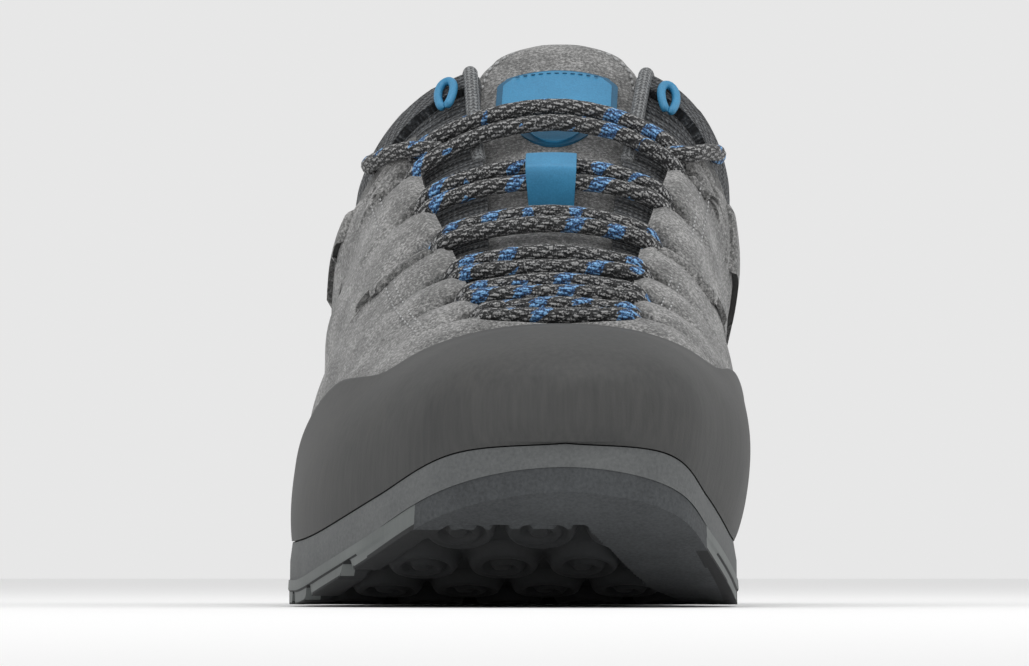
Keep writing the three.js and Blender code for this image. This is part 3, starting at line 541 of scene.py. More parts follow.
def woven_webbing():
    """Woven polyester webbing: a charcoal rib of crossing yarns, with a fine yellow border on each side."""
    made, tree, shader = material("woven_webbing", roughness=0.85)
    across, along = unrolled(tree)
    warp, weft = waves(tree, across, 0.9), waves(tree, along, 1.3)
    height = blend(tree, warp, 0.5, weft, 0.5)
    tone = node(tree, "Math", [height, 0.25, grain(tree, 0.7, 2, 0.7)], operation="MULTIPLY_ADD")
    ground = node(tree, "ValToRGB", [tone], stops=[(0.35, "#202226"), (0.62, "#3c3e45"), (0.85, "#63656c")])
    yellow = node(tree, "ValToRGB", [tone], stops=[(0.25, "#8a6d14"), (0.55, "#d8b42c")])
    away = node(tree, "Math", [across], operation="ABSOLUTE")
    border = node(tree, "Math", [waves(tree, along, 1.2), -0.7], operation="GREATER_THAN")
    for side, edge in (("GREATER_THAN", 8.0 * MM), ("LESS_THAN", 9.7 * MM)):
        border = node(tree, "Math", [border, node(tree, "Math", [away, edge], operation=side)], operation="MULTIPLY")
    mixed = node(tree, "Mix", {"Factor": border, "A": ground, "B": yellow}, 2, data_type="RGBA")
    tree.links.new(mixed, shader.inputs["Base Color"])
    relief(tree, shader, height, 0.35, 0.8)
    return made


def plain_finish(name, base, dark, rough, grain_size, depth, **settings):
    """A finish of one colour with fine grain and soft variation."""
    made, tree, shader = material(name, roughness=rough, **settings)
    fine = grain(tree, grain_size, 2)
    mixed = blend(tree, fine, 0.5, grain(tree, 12, 2), 0.5)
    paint(tree, shader, mixed, [(0.3, dark), (0.65, base)])
    relief(tree, shader, fine, depth, 0.5)
    return made


suede = split_suede("split_suede", "#2e2e2e", "#676766", "#a8a7a6")
quarter_suede = split_suede("split_suede_dark", "#272828", "#4b4b4a", "#7c7c7a")
# Dark colour for the vamp's rims: painted shade, standing for the shadow lines between the lobes and in the slit.
painted_shade_edge = plain_finish("suede_painted_shade_edge", "#3a3a39", "#2b2b2b", 0.95, 0.5, 0.1)
rand_rubber = moulded_rubber("moulded_rand_rubber", "#303131", "#434342")
sole_rubber = moulded_rubber("sticky_sole_rubber", "#141516", "#202224", 0.72, 0.2)
climb_rubber = foam("smooth_edging_rubber", "#303234", "#4a4d4f")
side_rubber = moulded_rubber("sole_side_rubber", "#565a59", "#6c706f", 0.6, 0.2)
midsole_foam = foam("eva_foam", "#505253", "#666868")
heel_foam = foam("dark_eva_foam", "#2b2d2f", "#424446")
knit = knit_fabric("warp_knit", "#202224", "#43464a")
lining_knit = knit_fabric("lining_mesh", "#2a2c2e", "#4c4f52", 3.0, 2.4)
braid = round_braid()
blue = plain_finish("coated_microfibre", "#3a8bb6", "#2b7299", 0.5, 0.4, 0.05)
blue_rim = plain_finish("coated_microfibre_edge", "#1f6386", "#174f6c", 0.55, 0.4, 0.05)
thread = plain_finish("polyester_thread", "#b4b5b5", "#8f9091", 0.7, 0.3, 0.05)
blue_thread = plain_finish("blue_polyester_thread", "#7cc3e2", "#5aa6cb", 0.6, 0.3, 0.05)
webbing = woven_webbing()
binding = knit_fabric("collar_binding_knit", "#4b4d4f", "#8a8c8d", 1.2, 1.2)
insole_cloth = plain_finish("brushed_insole_cloth", "#3a3b3d", "#26272a", 0.95, 0.8, 0.2)


# ---------------------------------------------------------------- rubber round the foot
def rand_edge(turn):
    """Station where the rand's top line crosses a turn."""
    turn = np.asarray(turn, float)
    found = np.zeros_like(turn)
    for name, side in SIDES.items():
        def covered(station, line=RAND_TOP[name]):
            spot = form_point(station, turn)
            at = share_at(spot)
            return (at < line[0][0]) | ((spot[..., 2] < follow(line, at) * INSTEP) & (at < line[-1][0]))
        edge = halve(np.full_like(turn, 0.02), station_of(np.full_like(turn, 0.56)), covered, 30)
        found = np.where(np.sign(turn) == side, edge, found)
    return np.where(turn == 0, station_of(0.1865), found)


def make_rand():
    def place(u, v):
        turn = 2 * u - 1
        sharp, back = np.unique(turn.round(9), return_inverse=True)
        edge = rand_edge(sharp)
        for _ in range(6):
            edge[1:-1] = (edge[:-2] + 2 * edge[1:-1] + edge[2:]) / 4
        return edge[back] * v, turn

    def grow(u, v, station, turn):
        return RAND_OUT - step(v, 0.975, 1.0) * 0.9
    sheet("toe_rand_rubber", 150, 80, on_form(place, grow), rand_rubber, 1.8, 0.5, ["toe_rand"], "rand_rubber")


def wrap(front, low, high):
    """Place round the heel: from a share of the length on one side back to it on the other, between two lines."""
    def place(u, v):
        side = np.where(u < 0.5, -1.0, 1.0)
        share = 1 - np.abs(2 * u - 1)
        begin = station_of(front)
        station = begin + (1 - begin) * share
        key = np.stack([station, side], axis=1).round(9)
        sharp, back = np.unique(key, axis=0, return_inverse=True)
        back = back.reshape(-1)
        foot, head = low(sharp[:, 0], sharp[:, 1]), high(sharp[:, 0], sharp[:, 1])
        return station, foot[back] + (head - foot)[back] * v
    return place


def by_side(lines):
    """Turn of a line on each side; lines is one table or one for each side."""
    pair = lines if isinstance(lines, dict) else dict.fromkeys(SIDES, lines)

    def turn(station, side):
        return np.where(side < 0, turn_on(pair["lateral"], station, -1), turn_on(pair["medial"], station, 1))
    return turn


def beside_throat(line, throat, trim=0.0):
    """Turn of a line round the heel: its height on the side, but never past an edge of the throat."""
    def turn(station, side):
        on_side = np.abs(by_side(line)(station, side))
        edge = np.abs(turn_away(station, side * (follow(throat, share_of(station)) * WIDTH + trim)))
        return side * np.maximum(on_side, edge * (share_of(station) < 0.70))
    return turn


def feather_turn(station, side):
    return side * np.ones_like(station)


def make_heel_rubber():
    def lipped(u, v, station, turn):
        return RAND_OUT + 0.8 * (1 - step(v, 0.0, 0.14))
    sheet("heel_cup_rubber", 180, 40, on_form(wrap(0.672, feather_turn, by_side(CUP_TOP)), lipped),
          rand_rubber, 1.8, 0.5, ["heel_cup"], "rand_rubber")
    sheet("heel_sling_rubber", 240, 24, on_form(wrap(0.466, by_side(SLING_FOOT), by_side(SLING_TOP)), RAND_OUT),
          rand_rubber, 1.8, 0.5, ["heel_sling"], "rand_rubber")


# ---------------------------------------------------------------- suede
def gap_shape(at):
    """How far a place along the throat is inside a gap between two lobes, 0 to 1, and in the deep slit."""
    gap = np.zeros_like(at)
    slit = np.zeros_like(at)
    for i, row in enumerate(LACE_ROWS):
        if i == SLIT_ROW:
            slit = np.clip(1 - np.abs(at - row) / 0.017, 0, 1) ** 0.85
        else:
            gap = np.maximum(gap, np.exp(-(np.abs(at - row) / 0.0062) ** 2.4))
    return gap, slit


# Along the throat, shares of the length: its front, the foot of the first lobe, where the lobes start and end
THROAT_FRONT, FIRST_LOBE, LOBES_FROM, LOBES_TO = 0.206, 0.212, 0.228, 0.545
# Along the vamp's top edge: the share that is its middle, and the end of its bend round the throat's front
EDGE_MIDDLE, EDGE_BEND = 0.10, 0.24


def between_rows(at):
    """Place between two neighbouring lace rows, from -1 at one to 1 at the next."""
    rows = np.array([FIRST_LOBE] + LACE_ROWS + [LOBES_TO])
    i = np.clip(np.searchsorted(rows, at) - 1, 0, len(rows) - 2)
    return 2 * (at - rows[i]) / (rows[i + 1] - rows[i]) - 1


def throat_edge(u, side, gaps):
    """Share of the length and distance from the crown along the top edge of the vamp, with or without its gaps."""
    at = 0.175 + (THROAT_FRONT - 0.175) * np.clip(u / EDGE_MIDDLE, 0, 1)
    angle = np.clip((u - EDGE_MIDDLE) / (EDGE_BEND - EDGE_MIDDLE), 0, 1) * math.pi / 2
    foot = follow(LOBE_LINE, LOBES_FROM) * WIDTH - 1.0
    run = LOBES_FROM + (LOBES_TO - LOBES_FROM) * np.clip((u - EDGE_BEND) / (1 - EDGE_BEND), 0, 1)
    line = follow(LOBE_LINE, run) * WIDTH - 1.0 + 10.0 * step(run, 0.532, LOBES_TO) ** 2
    if side < 0:
        line = line + follow(OUTER_SPREAD, run)
    middle, bend = u < EDGE_MIDDLE, u < EDGE_BEND
    at = np.select([middle, bend], [at, THROAT_FRONT + (LOBES_FROM - THROAT_FRONT) * (1 - np.cos(angle))], run)
    away = np.select([middle, bend], [np.zeros_like(u), foot * np.sin(angle)], line)
    if gaps:
        gap, slit = gap_shape(run)
        fade = step(u, 0.2, 0.25)
        round_end = 2.6 * np.abs(between_rows(run)) ** 3 - 1.0
        away = away + fade * (np.maximum(gap * 6.5, round_end) + slit * 12.5)
        at = at - fade * slit * 0.014
    return at, away


def crease(station, turn, at0, turn0, at1, turn1, width):
    """Soft trough between two places on the form, 1 in its middle."""
    at = share_of(station) * LENGTH
    across = turn * 90
    a = np.array([at0 * LENGTH, turn0 * 90])
    b = np.array([at1 * LENGTH, turn1 * 90])
    d = b - a
    f = np.clip(((at - a[0]) * d[0] + (across - a[1]) * d[1]) / (d @ d), 0, 1)
    gap = np.hypot(at - a[0] - f * d[0], across - a[1] - f * d[1])
    return np.exp(-(gap / width) ** 2) * np.sin(math.pi * np.clip(f * 0.9 + 0.05, 0, 1)) ** 0.5


# depth in millimetres, then where a fold runs: share of the length, turn, to share, turn, half width
VAMP_FOLDS = [
    (-1.1, (0.40, 0.50, 0.50, 0.78, 5.0)), (0.7, (0.43, 0.48, 0.53, 0.74, 5.0)),
    (-0.8, (0.33, 0.55, 0.42, 0.80, 4.5)), (-0.9, (0.50, 0.52, 0.58, 0.80, 6.0)),
]


def make_vamp():
    bm = bmesh.new()
    for side in SIDES.values():
        def place(u, v, side=side):
            sharp, back = np.unique(u.round(9), return_inverse=True)
            base, tips = [], []
            for gaps, kept in ((False, base), (True, tips)):
                at, away = throat_edge(sharp, side, gaps)
                top = station_of(at)
                kept.extend([top, turn_away(top, np.maximum(away, 1e-6) * side)])
            foot = station_of(np.interp(sharp, [0, EDGE_MIDDLE, EDGE_BEND, 1], [0.15, 0.18, 0.22, 0.64]))
            eased = 1 - (1 - v) ** 1.7
            fade = np.clip((eased - 0.5) / 0.5, 0, 1) ** 1.3
            return (foot[back] + (base[0] - foot)[back] * eased + (tips[0] - base[0])[back] * fade,
                    side + (base[1][back] - side) * eased + (tips[1] - base[1])[back] * fade)

        def grow(u, v, station, turn, side=side):
            edge = (1 - v) ** 1.7 * 75
            at = share_of(station)
            lift = 0.3 + 1.4 * np.maximum(1 - step(edge, 6, 26), step(u, 0.86, 1.0)) * step(u, 0.05, 0.2)
            rolled = -1.7 * (1 - step(edge, 0, 3.0)) ** 2
            puffed = (1.5 * (1 - between_rows(at) ** 2) - 0.9) * (1 - step(edge, 5, 21)) * step(u, 0.2, 0.3)
            wave = 0.5 * np.sin(at * 61 + turn * 5) * np.sin(turn * 9 + 1) * step(edge, 8, 30)
            folds = sum(depth * crease(station, turn * side, *spot) for depth, spot in VAMP_FOLDS)
            return lift + rolled + puffed + wave + folds
        bent_grid(bm, 290, 56, on_form(place, grow))
    made = piece("suede_vamp", bm, suede, 1.3, 0.4, ["upper", "eyestay_lateral", "eyestay_medial"], "suede")
    # The wall's rims take the dark rim colour: painted shade between the lobes and in the slit.
    made.data.materials.append(painted_shade_edge)
    made.modifiers["wall"].material_offset_rim = 1


def make_quarter():
    def grow(u, v, station, turn):
        at = share_of(station)
        puff = 0.5 * np.sin(at * 47 + turn * 6) * step(v, 0.1, 0.4) * (1 - step(v, 0.85, 1))
        return QUARTER_OUT + puff - 0.6 * (1 - step(1 - v, 0, 0.03))

    def notched(station, side):
        top = beside_throat(SUEDE_TOP, LOBE_LINE, 4.0)(station, side)
        spot = form_point(station, top)
        notch = 1 - step(np.abs(spot[:, 0] - HEEL_X), 9.2, 10.2)
        return np.where(notch > 0, turn_high(station, side, spot[:, 2] - 9.4 * notch), top)
    sheet("suede_quarter", 320, 60, on_form(wrap(0.552, feather_turn, notched), grow),
          quarter_suede, 1.7, 0.5, (), "suede")


# The collar binding: share of the length, width past the facing's edge, height off its place
BINDING_WAY = [(0.50, 0.010, -2.0), (0.53, 0.010, -0.8), (0.56, 0.010, 0.4), (0.585, 0.012, 0.8),
               (0.605, 0.016, 0.4), (0.618, 0.03, -2.0)]


def make_cuff():
    low = [(at, up - 0.075) for at, up in SUEDE_TOP]

    def grow(u, v, station, turn):
        belly = np.sin(math.pi * np.clip(v, 0, 1)) * 1.4
        ribs = 0.16 * np.sin(2 * math.pi * share_of(station) * LENGTH / 3.1)
        return CUFF_OUT - 0.5 + belly * step(v, 0.2, 0.6) + ribs
    cuff = sheet("knit_cuff", 260, 30, on_form(wrap(0.588, by_side(low), beside_throat(CUFF_TOP, FACING_LINE)), grow),
                 knit, 4.4, 1.7, ["cuff"], "knit")
    bm = bmesh.new()
    for side in SIDES.values():
        def place(u, v, side=side):
            at = 0.215 + (0.605 - 0.215) * u
            inner = follow(FACING_LINE, at) * WIDTH
            outer = follow(LOBE_LINE, at) * WIDTH + 14
            station = station_of(at)
            return station, turn_away(station, side * (inner + (outer - inner) * v))

        def height(u, v, station, turn):
            return FACING_OUT - (1 - v) + 0.2 * np.sin(2 * math.pi * u * 36)
        bent_grid(bm, 150, 16, on_form(place, height))
    piece("throat_knit", bm, knit, 1.6, 0.5, (), "knit")
    bm = bmesh.new()
    for side in SIDES.values():
        points = [over(at, side * (follow(FACING_LINE, at) + more) * WIDTH, CUFF_OUT - 1.2 + off)
                  for at, more, off in BINDING_WAY]
        cord(bm, points, 1.7, plait=0.12)
    piece("collar_binding", bm, binding, 0, 0, (), "knit", merge=0.01)
    lining_top = beside_throat([(at, up - 0.03) for at, up in CUFF_TOP], FACING_LINE, 2)

    def lining_edge(station, side):
        throat = turn_away(station, side * (follow(FACING_LINE, share_of(station)) * WIDTH + 5))
        return np.where(share_of(station) < 0.575, throat, lining_top(station, side))

    def lining_height(u, v, station, turn):
        return LINING_OUT - 1.1 * step(v, 0.7, 0.95) * step(share_of(station), 0.5, 0.62)
    sheet("bootie_lining", 200, 40, on_form(wrap(0.05, feather_turn, lining_edge), lining_height),
          lining_knit, 0.7, 0, (), "knit")


# The label's face: height off the form, and how far it stays inside its rim
LABEL_OUT, LABEL_TRIM = -4.5, 1.7


def make_tongue():
    def place(u, v):
        at = 0.220 + (0.6515 - 0.220) * (1 - (1 - v) ** 1.25)
        station = station_of(at)
        half = follow(TONGUE_LINE, at) * WIDTH
        return station, turn_away(station, (2 * u - 1) * half * 0.999)

    def grow(u, v, station, turn):
        across = 2 * u - 1
        pad = 1.0 * (1 - across ** 4) * (1 - step(v, 0.93, 1.0)) - 0.6
        return TONGUE_OUT + pad
    sheet("suede_tongue", 60, 110, on_form(place, grow), suede, 3.4, 1.2, ["tongue"], "suede")
    rim = []
    for way in (1, -1):
        ats = np.linspace(0.575, 0.645, 30)[::way]
        half = follow(TONGUE_LINE, ats) * WIDTH - 2.6
        rim.append(np.stack([ats - 0.006 * step(ats, 0.62, 0.645), way * half], axis=1))
    rim = np.vstack(rim)
    bm = bmesh.new()
    station = station_of(rim[:, 0])
    sew(bm, station, turn_away(station, rim[:, 1]), TONGUE_OUT + 0.1, 2.6, 1.9, 0.36)
    piece("tongue_stitches", bm, thread, merge=0)
    for name, grow_by, trim, finish, wall in (("tongue_label_rim", LABEL_OUT - 0.45, 0.0, blue_rim, 0.7),
                                              ("tongue_label_face", LABEL_OUT, LABEL_TRIM, blue, 0.8)):
        def label(u, v, trim=trim):
            low, high = 0.512 + 0.5 * trim / LENGTH, 0.601 - 0.5 * trim / LENGTH
            across = 2 * u - 1
            bow = 0.02 * across ** 2 * v - 0.20 * across ** 2 * (1 - v)
            at = low + (high - low) * (v - bow)
            half = 15.6 - 7.0 * (1 - step(v, 0.0, 0.42)) - 2.4 * step(v, 0.86, 1.0) ** 2 - trim
            station = station_of(at)
            return station, turn_away(station, across * half)
        sheet(name, 40, 40, on_form(label, lambda u, v, *_, base=grow_by: base + 0.5 * (1 - (2 * u - 1) ** 2)),
              finish, wall, 0.25, ["tongue_label"] if trim else (), "blue_accent")
    bm = bmesh.new()
    u = np.linspace(0.04, 0.96, 60)
    station, turn = label(u, np.full_like(u, 0.965), LABEL_TRIM)
    sew(bm, station, turn, LABEL_OUT + 0.45, 1.9, 1.3, 0.22)
    piece("tongue_label_stitches", bm, blue_rim, merge=0)

    def strap(u, v):
        at = 0.431 + (0.466 - 0.431) * u
        station = station_of(at)
        return station, turn_away(station, (2 * v - 1) * 0.058 * WIDTH)

    def strap_height(u, v, station, turn):
        return -5.2 + 9.9 * (1 - np.abs(2 * u - 1) ** 6)
    sheet("lace_strap", 60, 16, on_form(strap, strap_height), blue, 0.9, 0.25, ["lace_keeper"], "blue_accent")


# ---------------------------------------------------------------- lace
# For each row its two strands: millimetres along the foot at the outer, middle and inner end, and height
STRANDS = [
    ((1.3, 1.9, 1.5, 0.5), (-1.6, -2.2, -1.2, -0.2)),
    ((1.5, 2.7, 1.2, 0.4), (-1.4, -1.9, -1.7, 0.0)),
    ((1.8, 2.6, 1.6, 0.5), (-1.6, -2.3, -1.4, -0.2)),
    ((1.5, 3.2, 1.3, 0.2), (-1.8, -1.6, -1.9, 0.3)),
    ((2.6, 3.0, 2.2, 0.4), (-2.4, -2.4, -1.8, -0.1)),
    ((4.2, 5.2, 3.0, 0.8), (-2.6, 1.2, -2.4, 0.0)),
]


# The side strands: millimetres behind the top row, share of the width, height
SIDE_WAY = {
    "lateral": [(0, 0.26, 0.6), (2, 0.32, 4), (7, 0.37, 4.2), (12, 0.41, 3.6), (17, 0.435, 2.6), (21, 0.45, 0.6)],
    "medial": [(0, 0.26, 0.6), (2, 0.305, 4), (7, 0.33, 4.2), (12, 0.352, 3.6), (17, 0.37, 2.6),
               (21, 0.385, 0.6)],
}
# The strand behind the heel: millimetres to the side, back and up
HEEL_WAY = [(-15, -2.5, 2), (-9, 0.6, 0.6), (-4, 1.1, 0), (0, 1.2, 0), (4, 1.1, 0.3), (9, 0.6, 0.8), (15, -2.5, 1.5)]


def lace_row(at, strands):
    """Paths of the two strands of a lace row."""
    paths = []
    for outer, middle, inner, cross in strands:
        points = []
        for across in (-1.16, -1.04, -0.9, -0.6, -0.3, 0, 0.3, 0.6, 0.9, 1.04, 1.16):
            ends = inner if across > 0 else outer
            where = at + (middle + (ends - middle) * min(1, abs(across)) ** 1.5) / LENGTH
            reach = follow(LOBE_LINE, at) * WIDTH + 1.2 + (follow(OUTER_SPREAD, at) if across < 0 else 0)
            sag = 1.0 * (1 - min(1, across * across))
            tuck = 4.5 * max(0, abs(across) - 0.93) / 0.2
            lift = cross * math.exp(-(across / 0.5) ** 2) + 0.5 * cross
            points.append(over(where, across * reach, FACING_OUT + CORD + 1.6 - sag + lift - tuck))
        paths.append(points)
    return paths


def lace(name, paths, stands_for):
    """Makes a piece of lace along each path."""
    bm = bmesh.new()
    for points in paths:
        cord(bm, points, CORD, plait=0.22)
    piece(name, bm, braid, 0, 0, [stands_for], "lace_cord", merge=0.01)


def make_laces():
    for i, at in enumerate(LACE_ROWS):
        lace(f"lace_braid_row_{i + 1}", lace_row(at, STRANDS[i]), f"lace_row_{i + 1}")
    for name, side in SIDES.items():
        points = [over(LACE_ROWS[-1] + on / LENGTH, side * away * WIDTH, off) for on, away, off in SIDE_WAY[name]]
        lace(f"lace_braid_{name}", [points], f"lace_side_{name}")


# ---------------------------------------------------------------- sole
def tread_floor(at):
    """Height of the ground side of the sole above the floor."""
    at = np.asarray(at, float)
    spring = 25 * np.maximum(0, (0.27 - at) / 0.27) ** 1.8
    bevel = 4.5 * np.maximum(0, (at - 0.9) / 0.1) ** 2
    arch = np.where((at > 0.46) & (at < 0.74), 5 * np.sin(math.pi * (at - 0.46) / 0.28) ** 2, 0)
    return spring + bevel + arch


def sole_edge(station, side, grow):
    return skin(station, np.full_like(station, float(side)), grow)


# Places of the notches in the sole's rim, shares of the length
NOTCHES = {
    "lateral": [0.138, 0.215, 0.28, 0.34, 0.40, 0.79, 0.85, 0.91],
    "medial": [0.25, 0.31, 0.37, 0.43, 0.80, 0.86, 0.92],
}
STUD_PITCH, STUD_RADIUS, TREAD_DEPTH = 18.0, 7.6, 3.0


def notch_depth(at, name):
    """How deep the rim is cut at a place along it, 0 to 1."""
    return np.max([np.exp(-(np.abs(at - place) * LENGTH / 2.4) ** 6) for place in NOTCHES[name]], axis=0)


def middle_notch(at, x):
    """The notch in the middle of the heel's rim, 0 to 1."""
    return step(at, 0.955, 0.965) * (1 - step(np.abs(x - HEEL_X), 5.4, 6.2))


def stud_relief(x, y):
    """Depth of the tread below its studs: 1 between them, 0 on top, with a spiral groove in each."""
    row = np.rint(y / STUD_PITCH)
    shift = np.where(np.abs(row) % 2 > 0.5, 0.5, 0.0)
    column = np.rint(x / STUD_PITCH - shift)
    dx, dy = x - (column + shift) * STUD_PITCH, y - row * STUD_PITCH
    r, angle = np.hypot(dx, dy), np.arctan2(dy, dx)
    body = step(r, STUD_RADIUS - 0.7, STUD_RADIUS + 1.4)
    turns = (r / 3.6 - angle / (2 * math.pi)) % 1.0
    groove = (1 - step(np.abs(turns - 0.5), 0.10, 0.40)) * step(r, 1.2, 2.4)
    groove *= 1 - step(r, STUD_RADIUS - 2.4, STUD_RADIUS - 1.2)
    return np.maximum(body, 0.42 * groove)


def climb_zone(at, across):
    """The smooth edging zone: round the toe, and back along the inner side."""
    edge = 0.046 + 0.21 * step(across, 0.60, 0.96)
    return 1 - step(at, edge, edge + 0.005)


def make_sole():
    def reach(at, column):
        return follow(SOLE_REACH, at, column) * HEEL

    def bottom(u, v):
        at = 0.35 * v + 0.65 * share_of(v)
        station = station_of(at)
        low = tread_floor(at)
        left = sole_edge(station, -1, reach(at, 2))
        right = sole_edge(station, 1, reach(at, 2))
        points = left + (right - left) * u[:, None]
        width = np.maximum(np.linalg.norm(right - left, axis=1), 1)
        from_left, from_right = u * width, (1 - u) * width
        rim = 1 - np.minimum(step(from_left, 6, 7.2), step(from_right, 6, 7.2))
        climb = climb_zone(at, u)
        heel = step(at, 0.955, 0.965)
        arch = step(at, 0.50, 0.51) * (1 - step(at, 0.73, 0.74))
        plain = np.maximum.reduce([rim, climb, heel, arch * 0.65])
        cut = stud_relief(points[:, 0], points[:, 1]) * (1 - plain)
        cut_rim = np.maximum(notch_depth(at, "lateral") * (1 - step(from_left, 5.5, 7)),
                             notch_depth(at, "medial") * (1 - step(from_right, 5.5, 7)) * (1 - climb))
        points[:, 2] = low + TREAD_DEPTH * np.maximum.reduce([cut, cut_rim, middle_notch(at, points[:, 0])])
        return points, np.tile((0.0, 0.0, -1.0), (len(u), 1))

    def side(name, rubber):
        way = SIDES[name]

        def surface(u, v):
            at = share_of(u)
            low, top = tread_floor(at), tread_floor(at) + OUTSOLE_WALL
            high = feather(u) - 0.3
            floor, mid = reach(at, 2), reach(at, 1)
            if rubber:
                cut = notch_depth(at, name) * (1 if name == "lateral" else step(at, 0.2, 0.22))
                cut = np.maximum(cut, middle_notch(at, sole_edge(u, way, floor)[:, 0])) * (1 - step(v, 0.42, 0.55))
                trim = 0.5 * step(v, 0.5, 0.6) - 0.4 * (1 - step(v, 0, 0.08))
                points = sole_edge(u, way, floor + (mid - floor) / 2 * v + trim * step(at, 0.06, 0.14))
                points[:, 2] = low + (top - low) * v + cut * TREAD_DEPTH * (1 - v / 0.55).clip(0)
            else:
                foot, belly, head = (mid + floor) / 2 + 0.2, mid + 0.5, RAND_OUT - 0.2
                grow = np.where(v < 0.5, foot + (belly - foot) * 2 * v, belly + (head - belly) * (2 * v - 1))
                points = sole_edge(u, way, grow)
                points[:, 2] = top + (high - top) * v
            return points, form_normal(u, np.full_like(u, float(way) * 0.999))
        return surface
    bm = bmesh.new()
    bent_grid(bm, 140, 510, bottom)
    for name in SIDES:
        bent_grid(bm, 420, 14, side(name, True))
    made = piece("outsole_rubber", bm, sole_rubber, 0, 0, ["outsole"], "outsole_rubber", merge=0.05)
    made.data.materials.append(side_rubber)
    made.data.materials.append(climb_rubber)
    centres = np.array([face.center for face in made.data.polygons]) / MM
    shares = share_at(centres)
    stations = station_of(shares)
    left, right = (sole_edge(stations, way, reach(shares, 2))[:, 0] for way in (-1, 1))
    across = (centres[:, 0] - left) / np.maximum(right - left, 1)
    smooth_zone = (climb_zone(shares, across) > 0.5) & ((across > 0.03) & (across < 0.97) | (shares < 0.085))
    lifted = centres[:, 2] > tread_floor(shares) + 0.4
    beside = (across < 0.03) | (across > 0.97) | (shares < 0.03) | (shares > 0.985)
    for face, zone, high in zip(made.data.polygons, smooth_zone, lifted & beside):
        face.material_index = 2 if zone else 1 if abs(face.normal.z) < 0.62 and high else 0
    bm = bmesh.new()
    for name in SIDES:
        bent_grid(bm, 260, 12, side(name, False))
    foam_band = piece("midsole_band", bm, midsole_foam, 0, 0, ["midsole"], "midsole_foam", merge=0.05)
    foam_band.data.materials.append(heel_foam)
    for face in foam_band.data.polygons:
        if face.center.y > -0.052 + (face.center.z - 0.010) * 0.8:
            face.material_index = 1


# ---------------------------------------------------------------- heel pieces
def heel_spot(across, height):
    """Station and turn behind the heel, at a distance across from its middle and a height."""
    side = np.where(across < 0, -1.0, 1.0)

    def further(station):
        return np.abs(form_point(station, turn_high(station, side, height))[:, 0] - HEEL_X) > np.abs(across)
    station = halve(np.full_like(across, 0.72), np.ones_like(across), further, 24)
    return station, turn_high(station, side, height)


def station_behind(across, height):
    return heel_spot(np.array([across]), np.array([height]))[0][0]


# Half the width of the heel strip by its height, in millimetres
STRIP_WIDTH = [(19, 11.2), (34, 11.2), (60, 12.0), (78, 13.2), (89.6, 15.4)]


def make_heel_trim():
    def strip(u, v):
        height = 19.5 + (89.6 - 19.5) * v
        return heel_spot((2 * u - 1) * follow(STRIP_WIDTH, height), height)

    def strip_height(u, v, station, turn):
        across = np.abs(2 * u - 1)
        ridge = 0.9 * np.exp(-((across - 0.84) / 0.09) ** 2) * step(v, 0.45, 0.8)
        sunk = 1.75 * (1 - step(v, 0.35, 0.8)) * step(across, 0.35 + 0.5 * v, 1.0) + 1.3 * (1 - step(v, 0.05, 0.5))
        return STRIP_OUT - np.minimum(sunk, 1.8) + ridge - 0.5 * step(v, 0.97, 1.0)
    sheet("heel_strip_rubber", 50, 90, on_form(strip, strip_height), rand_rubber, 1.7, 0.5,
          ["heel_strip"], "rand_rubber")
    seams = bmesh.new()
    for name, side in SIDES.items():
        def accent(u, v, side=side):
            front, back = station_of(0.852), station_behind(side * 11.4, 66.0)
            station = front + (back - front) * u
            foot, top = turn_on(ACCENT_FOOT, station, side), turn_on(ACCENT_TOP, station, side)
            round_corner = 1 - 0.28 * step(u, 0.86, 1.0) ** 2
            return station, foot + (top - foot) * v * round_corner

        def puff(u, v, station, turn):
            groove = np.exp(-((v - 0.42) / 0.06) ** 2) * step(u, 0.15, 0.3)
            return ACCENT_OUT - 0.4 + 0.5 * np.sin(math.pi * v) - 0.5 * groove
        sheet(f"heel_accent_{name}_cover", 90, 30, on_form(accent, puff), blue, 1.2, 0.3,
              [f"heel_accent_{name}"], "blue_accent")
        for v in (0.12, 0.30):
            u = np.linspace(0.22, 0.97, 40)
            sew(seams, *accent(u, np.full_like(u, v), side), ACCENT_OUT + 0.15, 2.4, 1.7, 0.36)
    piece("heel_accent_stitches", seams, blue_thread, merge=0)


WEBBING_HALF = 10.0


def make_pull_loop():
    gap, wall, top, low = 2 * CORD + 0.6, 1.3, 126.0, 90.5
    middle = HEEL_BACK + 1.1
    radius = gap / 2 + wall
    high, base = top - radius, low + radius
    straight, bend = high - base, math.pi * radius

    def surface(u, v):
        run = v * (2 * straight + 2 * bend)
        x = HEEL_X + (2 * u - 1) * WEBBING_HALF
        parts = [run < straight, run < straight + bend, run < 2 * straight + bend]
        last = math.pi + (run - 2 * straight - bend) / radius
        angle = np.select(parts, [0 * run, (run - straight) / radius, math.pi + 0 * run], last)
        y, swing = middle + np.cos(angle) * radius, np.sin(angle) * radius
        z = np.select(parts, [base + run, high + swing, high - (run - straight - bend)], base + swing)
        out = np.stack([0 * x, np.cos(angle), np.sin(angle)], axis=1)
        return np.stack([x, y, z], axis=1), out
    sheet("webbing_pull", 30, 150, surface, webbing, 1.25, 0.3, ["pull_loop"], "webbing")
    points = [(HEEL_X + x, HEEL_BACK + y, 94.7 + z) for x, y, z in HEEL_WAY]
    lace("lace_braid_heel", [points], "lace_heel")


LOOP_HIGH, LOOP_WIDE = 11.0, 5.0


